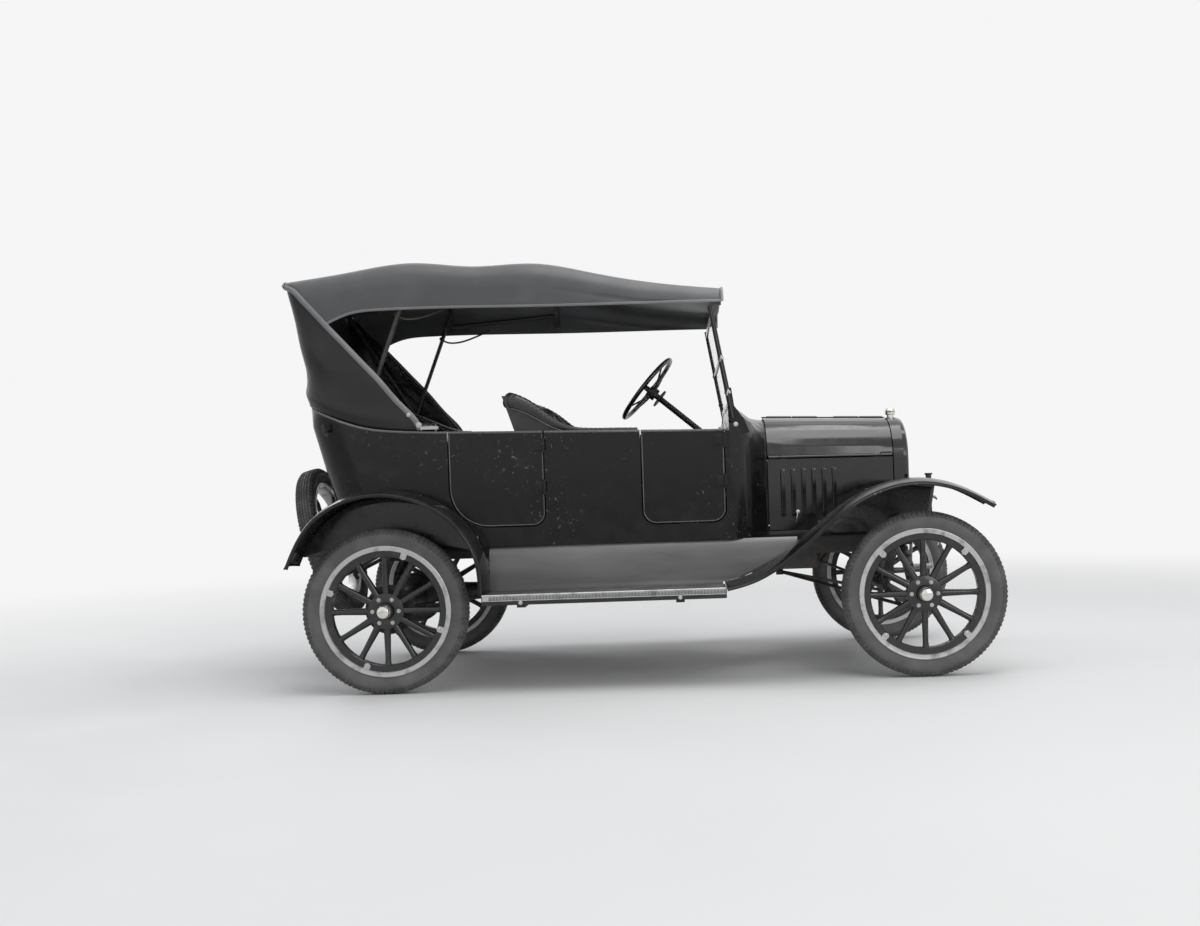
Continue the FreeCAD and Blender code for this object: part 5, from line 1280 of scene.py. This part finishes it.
top_rows = []
for step in range(97):
    x = roof_front + (roof_rear - roof_front) * step / 96
    crown = roof_section(x)
    hem = height_on(hem_line, x)
    row = []
    edge_y, edge_z = crown[0]
    for number in range(9, 0, -1):
        z = edge_z + (hem - edge_z) * number / 9
        row.append((edge_y, z))
    row += crown
    for number in range(1, 10):
        z = edge_z + (hem - edge_z) * number / 9
        row.append((-edge_y, z))
    if hem > edge_z:
        above = [y for y, z in crown if z >= hem]
        row = [(min(max(y, above[0]), above[-1]), max(z, hem)) for y, z in row]
    placed = []
    for y, z in row:
        out = y
        if abs(y) > 400:
            out -= math.copysign(crease(x, z), y)
        if abs(y) > 560:
            wave = 1.6 * math.sin(x / 61 + 0.4 * math.sin(x / 37))
            ripple = wave * max(0.0, 1 - abs(z - hem) / 90)
            out -= math.copysign(ripple + 1.6, y)
        placed.append(at(x, out, z - sag(x, y)))
    top_rows.append(placed)
top_cloth_piece = add_piece("top_cloth_sheet", grid(top_rows), top_cloth,
                            nodes=("top_cover",), angle=80, wall=cloth_thick)
top_area = sum(face.area for face in top_cloth_piece.data.polygons)
print("top cloth:", round(top_area, 3), "square metres")

# %% [markdown]
# The rear curtain is a second piece of the same cloth. It goes round the back corners of the body
# from one slanting front edge to the other. Its columns are measured from the middle of the back,
# so the little window can be cut out square. Just above the belt the cloth bulges where it is
# folded in over the padding, and that bulge catches the light in the photograph.

# %% Rear curtain
# Height, and there the back's place, half the width and the radius of the back corner
curtain_levels = ((1180, -1662, 602, 180), (1400, -1672, 601, 170), (1560, -1682, 598, 140),
                  (1720, -1706, 592, 100), (1950, -1748, 582, 60), (2020, -1754, 579, 50))
curtain_front = ((1180, -1106), (1256, -1106), (1491, -1300), (1763, -1547), (1951, -1712), (2030, -1712))


def between(table, z, column):
    return float(np.interp(z, [row[0] for row in table], [row[column] for row in table]))


def curtain_half(z):
    # Half of the outline at one height, from the middle of the back to the front edge
    back = between(curtain_levels, z, 1)
    half = between(curtain_levels, z, 2)
    corner = between(curtain_levels, z, 3)
    front = between(curtain_front, z, 1)
    line = [(back, 0.0), (back, half - corner)]
    for number in range(1, 17):
        angle = math.pi / 2 * number / 16
        line.append((back + corner * (1 - math.cos(angle)), half - corner + corner * math.sin(angle)))
    line.append((-1000.0, half))
    kept = [line[0]]
    for a, b in zip(line[:-1], line[1:]):
        if b[0] <= front:
            kept.append(b)
            continue
        share = (front - a[0]) / (b[0] - a[0])
        kept.append((front, a[1] + (b[1] - a[1]) * share))
        break
    return np.array(kept)


def curtain_spot(column, z):
    # Columns 0 to 8 are 50 mm apart, and the others share what is left round the corner
    line = curtain_half(z)
    marks = np.concatenate([[0], np.cumsum(np.linalg.norm(np.diff(line, axis=0), axis=1))])
    place = column * 50.0 if column <= 8 else 400 + (marks[-1] - 400) * (column - 8) / 30
    return float(np.interp(place, marks, line[:, 0])), float(np.interp(place, marks, line[:, 1]))


def curtain_foot(column):
    z = 1300.0
    for _ in range(12):
        x, _ = curtain_spot(column, z)
        z = belt_height(max(x, -1700)) + 1.5
    return z


def curtain_head(column):
    _, y = curtain_spot(column, 1990)
    crown = roof_section(-1735, 3)
    under = float(np.interp(-y, [p[0] for p in crown], [p[1] for p in crown])) - 7
    return max(1951.0, min(2015.0, under)) if column <= 20 else 1951.0


curtain_columns = []
for column in range(39):
    foot_z = curtain_foot(column)
    head_z = curtain_head(column)
    heights = [foot_z + (1580 - foot_z) * n / 14 for n in range(14)] + [1580 + 150 * n / 5 for n in range(5)]
    heights += [1730 + (head_z - 1730) * n / 12 for n in range(13)]
    side = []
    for z in heights:
        x, y = curtain_spot(column, z)
        ahead = curtain_spot(min(column + 1, 38), z)
        behind = curtain_spot(max(column - 1, 0), z)
        along = Vector((ahead[0] - behind[0], ahead[1] - behind[1]))
        out = Vector((-along.y, along.x)).normalized() if column else Vector((-1, 0))
        over = z - foot_z
        swell = 13.0 * math.exp(-((over - 60) / 42) ** 2) * min(max((-1150 - x) / 260, 0), 1)
        pull = 3.0 * math.sin((x * 0.62 + z) / 46) * min(over / 200, 1) * math.exp(-((z - 1560) / 210) ** 2)
        hollow = -4.0 * math.exp(-((z - 1800) / 120) ** 2)
        shift_out = (swell + (pull if column > 10 else pull * 0.3) + hollow) * min(1, (38 - column) / 4 + 0.1)
        side.append((x + out.x * shift_out, y + out.y * shift_out, z))
    curtain_columns.append(side)
curtain_rows = []
for level in range(len(curtain_columns[0])):
    right = [curtain_columns[column][level] for column in range(38, 0, -1)]
    left = [curtain_columns[column][level] for column in range(39)]
    curtain_rows.append([at(x, -y, z) for x, y, z in right] + [at(x, y, z) for x, y, z in left])
points, sides = grid(curtain_rows)
faces_across = len(curtain_rows[0]) - 1
kept_sides = []
for number, face in enumerate(sides):
    level, column = divmod(number, faces_across)
    if not (14 <= level < 19 and 33 <= column < 43):
        kept_sides.append(face)
# The curtain's much darker cloth colour is painted shade.
curtain_piece = add_piece("curtain_sheet", (points, kept_sides), curtain_cloth_painted_shade,
                          nodes=("rear_curtain",), angle=80, wall=cloth_thick)
curtain_area = sum(face.area for face in curtain_piece.data.polygons)
print("rear curtain:", round(curtain_area, 3), "square metres")
print("window of", len(sides) - len(kept_sides), "faces")

# %% [markdown]
# Every edge of the top is bound with a narrow tape, sewn down with a row of stitches. The tape
# is paler than the cloth, so it draws the whole shape of the top in the photograph. The stitches
# follow a curve, so this time the tree takes a path: it sets one stitch at each even step along it.

# %% Binding, seams and stitches
def path_tree():
    tree = bpy.data.node_groups.new("stitches_on_a_path", "GeometryNodeTree")
    sockets = {}
    for label, kind in (("Path", "NodeSocketObject"), ("Shape", "NodeSocketObject"),
                        ("Step", "NodeSocketFloat"), ("Finish", "NodeSocketMaterial")):
        sockets[label] = tree.interface.new_socket(label, in_out="INPUT", socket_type=kind).identifier
    tree.interface.new_socket("Geometry", in_out="OUTPUT", socket_type="NodeSocketGeometry")
    nodes = tree.nodes
    links = tree.links
    start = nodes.new("NodeGroupInput")
    end = nodes.new("NodeGroupOutput")
    path = nodes.new("GeometryNodeObjectInfo")
    shape = nodes.new("GeometryNodeObjectInfo")
    spots = nodes.new("GeometryNodeCurveToPoints")
    spots.mode = "LENGTH"
    spread = nodes.new("GeometryNodeInstanceOnPoints")
    real = nodes.new("GeometryNodeRealizeInstances")
    paint = nodes.new("GeometryNodeSetMaterial")
    links.new(start.outputs["Path"], path.inputs["Object"])
    links.new(start.outputs["Shape"], shape.inputs["Object"])
    links.new(path.outputs["Geometry"], spots.inputs["Curve"])
    links.new(start.outputs["Step"], spots.inputs["Length"])
    links.new(spots.outputs["Points"], spread.inputs["Points"])
    links.new(spots.outputs["Rotation"], spread.inputs["Rotation"])
    links.new(shape.outputs["Geometry"], spread.inputs["Instance"])
    links.new(spread.outputs[0], real.inputs[0])
    links.new(real.outputs[0], paint.inputs["Geometry"])
    links.new(start.outputs["Finish"], paint.inputs["Material"])
    links.new(paint.outputs[0], end.inputs[0])
    return tree, sockets


stitch_tree, stitch_sockets = path_tree()
stitch_shape = small_box(-0.0008, 0.0008, -0.0008, 0.0008, -0.0022, 0.0022, 1.0)


def stitches(line, step, material):
    curve = bpy.data.curves.new("stitch_path", "CURVE")
    curve.dimensions = "3D"
    spline = curve.splines.new("POLY")
    spline.points.add(len(line) - 1)
    for spot, place in zip(spline.points, line):
        spot.co = (*place, 1)
    path = bpy.data.objects.new("stitch_path", curve)
    small = bpy.data.meshes.new("one_stitch")
    small.from_pydata([tuple(p) for p in stitch_shape[0]], [], stitch_shape[1])
    source = bpy.data.objects.new("one_stitch", small)
    holder = bpy.data.objects.new("stitch_holder", bpy.data.meshes.new("stitch_holder"))
    for thing in (path, source, holder):
        scene.collection.objects.link(thing)
    steps = holder.modifiers.new("stitch", "NODES")
    steps.node_group = stitch_tree
    steps[stitch_sockets["Path"]] = path
    steps[stitch_sockets["Shape"]] = source
    steps[stitch_sockets["Step"]] = step
    steps[stitch_sockets["Finish"]] = material
    ready = holder.evaluated_get(bpy.context.evaluated_depsgraph_get())
    mesh = bpy.data.meshes.new_from_object(ready)
    found = [v.co.copy() for v in mesh.vertices], [tuple(p.vertices) for p in mesh.polygons]
    for thing in (holder, source, path):
        bpy.data.objects.remove(thing)
    bpy.data.meshes.remove(mesh)
    return found


def tape(line, outs, width, thick):
    # A flat band along a line. outs gives the direction that faces out of the cloth at each point
    rows = []
    for i, spot in enumerate(line):
        way = (line[min(i + 1, len(line) - 1)] - line[max(i - 1, 0)]).normalized()
        out = (outs[i] - way * outs[i].dot(way)).normalized()
        side = way.cross(out)
        w = width / 2000
        t = thick / 1000
        rows.append([spot + side * w - out * t * 0.4, spot + side * w * 0.82 + out * t * 0.6, spot + out * t,
                     spot - side * w * 0.82 + out * t * 0.6, spot - side * w - out * t * 0.4])
    return grid(rows, close_points=True, cap=True)


hem_path = []
for number in range(81):
    x = roof_front - 2 + (-1547 - roof_front + 2) * number / 80
    hem_path.append(at(x, -roof_half - 0.5, height_on(hem_line, x) + 5))
seam_mm = [(-1749, -548, 1961), (-1736, -572, 1952), (-1712, -586, 1942), (-1660, -590.5, 1891),
           (-1604, -591.5, 1828), (-1547, -593, 1763), (-1466, -597, 1675), (-1384, -600, 1584),
           (-1300, -602, 1492), (-1203, -603, 1374), (-1112, -603.5, 1262), (-1106, -603.5, 1246)]
seam_path = [at(*spot) for spot in smooth_curve(seam_mm, 70)]
hem_tape = tape(hem_path, [Vector((0, -1, 0))] * len(hem_path), 13, 2.2)
seam_tape = tape(seam_path, [Vector((0, -1, 0))] * len(seam_path), 26, 2.4)
beads = []
for offset in (-11.5, 11.5):
    aside = Vector((offset * 0.76, -1.2, offset * -0.65)) / 1000
    beads.append(tube([spot + aside for spot in seam_path], 2.6, 8))
front_line = [at(roof_front + 2, y, z + 1) for y, z in roof_section(roof_front, 0, 40)]
front_line = [at(roof_front + 2, -roof_half, 1818)] + front_line + [at(roof_front + 2, roof_half, 1818)]
front_roll = tube(front_line, 7.0, 10)
rear_line = [at(roof_rear, y, z) for y, z in roof_section(roof_rear, 0, 40) if z > 1958]
rear_roll = tube(rear_line, 3.5, 10)
add_piece("top_binding", joined(both_sides([hem_tape, seam_tape]) + [front_roll, rear_roll]), binding_cloth,
          angle=60)
add_piece("top_piping", joined(both_sides(beads)), binding_cloth)
sewn = []
for line, lift, step in ((hem_path, 3.2, 0.008), (seam_path, -3.2, 0.008)):
    sewn.append(stitches([spot + Vector((0, -0.0021, lift / 1000)) for spot in line], step, binding_cloth))
add_piece("top_stitches", joined(both_sides(sewn)), binding_cloth)
window_z = 1655
window_corner = 24


def border_spot(half, wave, reach):
    # A straight side of the window's border, and then its way round the corner
    return math.copysign(half - window_corner, wave) + math.copysign(abs(wave) ** 0.6, wave) * reach


frame_rows = []
for inner, out in ((-1, 1.0), (2, 4.5), (22, 4.5), (27, 1.0)):
    row = []
    for number in range(48):
        angle = 2 * math.pi * (number + 0.5) / 48
        reach = 26 + inner
        y = border_spot(250, math.cos(angle), reach)
        z = window_z + border_spot(75, math.sin(angle), reach)
        back = between(curtain_levels, z, 1)
        row.append(at(back - out + 4.0 * math.exp(-((z - 1800) / 120) ** 2), y, z))
    frame_rows.append(row)
add_piece("window_border", grid(frame_rows, close_points=True), binding_cloth, wall=1.5)
print("stitches:", sum(len(shape[1]) for shape in sewn) // 3)

# %% [markdown]
# A curved iron on each side reaches from the main bow to the edge of the cloth. Two clasps and a
# small plate hold the curtain's lower front corner down to the body.

# %% Irons and clasps of the top
iron_mm = [(-1206, -566, 1806), (-1180, -568, 1788), (-1130, -570, 1781), (-1082, -571, 1788),
           (-1034, -572, 1803), (-985, -573, 1822), (-930, -573, 1846)]
irons = [tube([at(*spot) for spot in smooth_curve(iron_mm, 30)], 5.5, 10, 0.7)]
irons.append(moved(hex_head(16, 6), set_on(at(-1206, -569, 1806), (0, -1, 0))))
add_piece("top_irons", joined(both_sides(irons)), frame_paint)
clasps = []
for x, z, size in ((-1110, 1268, 22), (-1158, 1318, 16)):
    clasps.append(moved(hex_head(size, 5, 1.3), set_on(at(x, -606, z), (0, -1, 0))))
plate_place = Matrix.Translation(at(-1062, -604, 1252)) @ on_edge
clasps.append(moved(small_box(-0.045, 0.045, -0.008, 0.008, 0, 0.004, 0.9), plate_place))
add_piece("curtain_clasps", joined(both_sides(clasps)), rim_steel)
print("clasps and plates:", len(clasps) * 2)

# %% [markdown]
# The seats are hair and springs under pleated leather cloth. Each solid is wrapped in a new skin of
# even squares, and Cloth with a little air pressure swells it, so the sides pull in between the
# corners as they do on a real cushion. No point may move far, so the seats still fit the body.
# The sewn channels come last, because the swelling would pull them out again.

# %% Stuffed seats
last_frame = 20
pleat_pitch = 62.0
pleat_depth = 8.0


def stuffed(node, voxel, shrink, most):
    source = frame["nodes"][node]
    mesh = source.data.copy()
    work = bmesh.new()
    work.from_mesh(mesh)
    bmesh.ops.remove_doubles(work, verts=work.verts, dist=0.00001)
    work.to_mesh(mesh)
    work.free()
    piece = bpy.data.objects.new(node + "_stuffed", mesh)
    scene.collection.objects.link(piece)
    skin = piece.modifiers.new("skin", "REMESH")
    skin.mode = "VOXEL"
    skin.voxel_size = voxel / 1000
    ease = piece.modifiers.new("ease", "SMOOTH")
    ease.factor = 0.5
    ease.iterations = 6
    ready = piece.evaluated_get(bpy.context.evaluated_depsgraph_get())
    wrapped = bpy.data.meshes.new_from_object(ready)
    piece.modifiers.clear()
    piece.data = wrapped
    skin_normals = [v.normal.copy() for v in wrapped.vertices]
    for vertex, normal in zip(wrapped.vertices, skin_normals):
        vertex.co -= normal * (shrink / 1000)
    start = np.array([v.co[:] for v in wrapped.vertices])
    air = piece.modifiers.new("air", "CLOTH")
    air.settings.quality = 4
    air.settings.mass = 0.3
    air.settings.use_pressure = True
    air.settings.uniform_pressure_force = 1.5
    air.settings.tension_stiffness = 40
    air.settings.compression_stiffness = 40
    air.settings.effector_weights.gravity = 0.0
    air.point_cache.frame_start = 1
    air.point_cache.frame_end = last_frame
    for number in range(1, last_frame + 1):
        scene.frame_set(number)
    ready = piece.evaluated_get(bpy.context.evaluated_depsgraph_get())
    swollen = np.array([v.co[:] for v in ready.data.vertices])
    piece.modifiers.clear()
    scene.frame_set(1)
    way = swollen - start
    length = np.linalg.norm(way, axis=1, keepdims=True)
    kept = start + way * np.minimum(1.0, (most / 1000) / np.maximum(length, 1e-9))
    for vertex, spot in zip(wrapped.vertices, kept):
        vertex.co = spot
    swell = float(np.minimum(length, most / 1000).mean()) * 1000
    print(node, "swelled by", round(swell, 1), "mm on average")
    finer = piece.modifiers.new("finer", "SUBSURF")
    finer.levels = 1
    finer.render_levels = 1
    ready = piece.evaluated_get(bpy.context.evaluated_depsgraph_get())
    fine_mesh = bpy.data.meshes.new_from_object(ready)
    piece.modifiers.clear()
    piece.data = fine_mesh
    return piece


def channel(place, pitch, depth):
    # A sewn channel is sharp at the seam and round between the seams
    wave = abs(math.sin(math.pi * place / pitch))
    return -depth * (1 - wave ** 0.45)


def pleat(piece, facing, seat):
    mesh = piece.data
    normals = [v.normal.copy() for v in mesh.vertices]
    for vertex, normal in zip(mesh.vertices, normals):
        x = vertex.co.x * 1000 - shift
        y = vertex.co.y * 1000
        share = min(max((facing(y, normal) - 0.25) / 0.4, 0), 1)
        if share:
            drop = channel(seat(x, y), pleat_pitch, pleat_depth)
            vertex.co += normal * (drop * share / 1000)


cushions = stuffed("seat_cushions", 12, 7, 15)
pleat(cushions, lambda y, normal: normal.z, lambda x, y: y)
backs = stuffed("seat_backs", 13, 7, 14)


def back_facing(y, normal):
    inward = -math.copysign(1, y) * normal.y if abs(y) > 400 else 0.0
    return max(normal.x, inward, normal.z * 0.8)


def back_place(x, y):
    wing = abs(y) > 485 and (x > -600 or -1450 < x < -1000)
    return x if wing else y


pleat(backs, back_facing, back_place)
for piece, node in ((cushions, "seat_cushions"), (backs, "seat_backs")):
    piece.data.materials.clear()
    piece.data.materials.append(seat_hide)
    piece.data.polygons.foreach_set("use_smooth", [True] * len(piece.data.polygons))
    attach(piece, "car")
    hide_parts(node)
    print(node, "has", len(piece.data.polygons), "faces")

# %% [markdown]
# A padded roll runs over the top of the front seat's back and down along both arms. It is as thick
# as a fist behind the driver's shoulder and no thicker than a thumb at its front end. The leather
# is gathered as it goes round the bend, so the roll is a tube whose skin is drawn in at even
# steps, with a piping cord sewn along the outside.

# %% Rolls along the seats
def gathered_roll(line, radii, pitch, depth, sides=20, slim=1.0):
    rows = []
    across = None
    run = 0.0
    for i, spot in enumerate(line):
        way = (line[min(i + 1, len(line) - 1)] - line[max(i - 1, 0)]).normalized()
        if i:
            run += (spot - line[i - 1]).length * 1000
        if across is None:
            across = way.cross(Vector((0, 0, 1))).normalized()
        across = (across - way * across.dot(way)).normalized()
        up = across.cross(way)
        row = []
        for number in range(sides):
            angle = 2 * math.pi * number / sides
            phase = run + 7 * math.sin(angle * 2) + 9 * math.cos(angle)
            pinch = channel(phase, pitch, depth * radii[i] / 30)
            reach = (radii[i] + pinch) / 1000
            row.append(spot + across * (reach * slim * math.cos(angle)) + up * (reach * math.sin(angle)))
        rows.append(row)
    return grid(rows, close_points=True, cap=True)


arm_mm = [(-62, -572, 1211), (-180, -572, 1214), (-300, -572, 1216), (-390, -571, 1226),
          (-470, -570, 1258), (-560, -569, 1318), (-625, -566, 1354), (-668, -552, 1371),
          (-690, -500, 1378), (-694, -420, 1379)]
half_arm = smooth_curve(arm_mm, 190)
roll_line = half_arm + [Vector((-694, y, 1379)) for y in range(-412, 413, 8)]
roll_line += [Vector((p.x, -p.y, p.z)) for p in half_arm[::-1]]
roll_radii = []
for spot in roll_line:
    share = min(max((spot.z - 1214) / 150, 0), 1)
    roll_radii.append(12 + 28 * share ** 0.7)
front_roll_shape = gathered_roll([at(*spot) for spot in roll_line], roll_radii, 24, 4.0, slim=0.66)
front_roll_piece = add_piece("front_seat_roll", front_roll_shape, seat_hide, angle=70)
cord_line = [at(spot.x, spot.y - 0.5 * radius, spot.z - 0.86 * radius - 2)
             for spot, radius in zip(half_arm[:170], roll_radii[:170])]
cords_shape = tube(cord_line, 3.5, 8)
rear_mm = [(-1045, -524, 1250), (-1090, -524, 1252), (-1236, -523, 1302), (-1380, -523, 1366),
           (-1480, -521, 1410), (-1546, -500, 1440), (-1583, -452, 1456), (-1592, -390, 1461)]
half_rear = smooth_curve(rear_mm, 110)
rear_line_mm = half_rear + [Vector((-1592, y, 1461)) for y in range(-382, 383, 8)]
rear_line_mm += [Vector((p.x, -p.y, p.z)) for p in half_rear[::-1]]
rear_roll_shape = gathered_roll([at(*spot) for spot in rear_line_mm], [26.0] * len(rear_line_mm), 26, 3.4)
rear_roll_piece = add_piece("rear_seat_roll", rear_roll_shape, seat_hide, angle=70)
piping_corner = 38.0
welts = both_sides([cords_shape])
for x0, x1, half, z in ((-540, -110, 552, 1062), (-1440, -990, 470, 1037)):
    ring = []
    for number in range(64):
        angle = 2 * math.pi * (number + 0.5) / 64
        flat_x = math.copysign((x1 - x0) / 2 - piping_corner - 3, math.cos(angle))
        flat_y = math.copysign(half - piping_corner - 3, math.sin(angle))
        x = (x0 + x1) / 2 + flat_x + piping_corner * math.cos(angle)
        y = flat_y + piping_corner * math.sin(angle)
        ring.append(at(x, y, z))
    welts.append(tube(ring + [ring[0], ring[1]], 5.0, 8))
add_piece("seat_piping", joined(welts), tyre_rubber)
print("rolls:", len(roll_line), "and", len(rear_line_mm), "steps")

# %% [markdown]
# The instrument panel of so plain a car has one round dial and one switch. The dial is left
# without figures. Dial, rim and switch are profiles turned about the same kind of axis.

# %% Dial and switch
low_panel, high_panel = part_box("instrument_panel")
dial_x = low_panel[0] * 1000 - shift
dial_y = 90
dial_z = (low_panel[2] + high_panel[2]) * 500


def dial_spot(y):
    def place(reach, angle, out):
        return at(dial_x - out, y + reach * math.cos(angle), dial_z + reach * math.sin(angle))
    return place


dial_rim = spun([(24, 0), (31, 0), (32, 3), (31, 7), (28, 9), (25, 7)], dial_spot(dial_y), 40)
switch = spun([(0, 0), (22, 0), (22, 4), (9, 5), (9, 14), (7, 16), (0, 16)], dial_spot(0), 32)
key_place = set_on(at(dial_x - 16, 0, dial_z), (-1, 0, 0))
key = moved(small_box(-0.003, 0.003, -0.013, 0.013, 0, 0.012, 0.8), key_place)
add_piece("dial_rim", joined([dial_rim, switch, key]), bright_steel)
dial_face = spun([(0, 2), (25.5, 2), (25.5, 0), (0, 0)], dial_spot(dial_y), 40)
add_piece("dial_face", dial_face, tyre_rubber)
print("dial at height", round(dial_z), "mm")

# %% [markdown]
# The floor is pale and plain, and only there to carry the car's shadow. Far from the car it melts
# into the pale room, so no hard horizon runs behind the wheels.

# %% Floor
floor_paint = finish("floor_paint", (0.8, 0.8, 0.79), 0.7, aged=(0.77, 0.77, 0.76), patch=0.6,
                     share=(0.3, 0.8), grain=20.0)
floor_nodes = floor_paint.node_tree.nodes
floor_links = floor_paint.node_tree.links
floor_place = floor_nodes.new("ShaderNodeTexCoord")
floor_far = floor_nodes.new("ShaderNodeVectorMath")
floor_far.operation = "LENGTH"
floor_fade = floor_nodes.new("ShaderNodeMapRange")
floor_fade.interpolation_type = "SMOOTHSTEP"
floor_fade.inputs["From Min"].default_value = 2.2
floor_fade.inputs["From Max"].default_value = 9.0
floor_path = floor_nodes.new("ShaderNodeLightPath")
floor_seen = floor_nodes.new("ShaderNodeMath")
floor_seen.operation = "MULTIPLY"
floor_glow = floor_nodes.new("ShaderNodeEmission")
floor_glow.inputs["Color"].default_value = room_glow
floor_mix = floor_nodes.new("ShaderNodeMixShader")
floor_out = floor_nodes["Material Output"]
floor_links.new(floor_place.outputs["Object"], floor_far.inputs[0])
floor_links.new(floor_far.outputs["Value"], floor_fade.inputs["Value"])
floor_links.new(floor_fade.outputs["Result"], floor_seen.inputs[0])
floor_links.new(floor_path.outputs["Is Camera Ray"], floor_seen.inputs[1])
floor_links.new(floor_seen.outputs[0], floor_mix.inputs[0])
floor_links.new(shader_of(floor_paint).outputs[0], floor_mix.inputs[1])
floor_links.new(floor_glow.outputs[0], floor_mix.inputs[2])
floor_links.new(floor_mix.outputs[0], floor_out.inputs["Surface"])
floor_mesh = bpy.data.meshes.new("studio_floor")
floor_mesh.from_pydata([(-60, -40, 0), (60, -40, 0), (60, 120, 0), (-60, 120, 0)], [], [(0, 1, 2, 3)])
floor_mesh.materials.append(floor_paint)
studio_floor = bpy.data.objects.new("studio_floor", floor_mesh)
scene.collection.objects.link(studio_floor)
print("floor laid")

# %% [markdown]
# The dressing ends here.

print("dressing done")
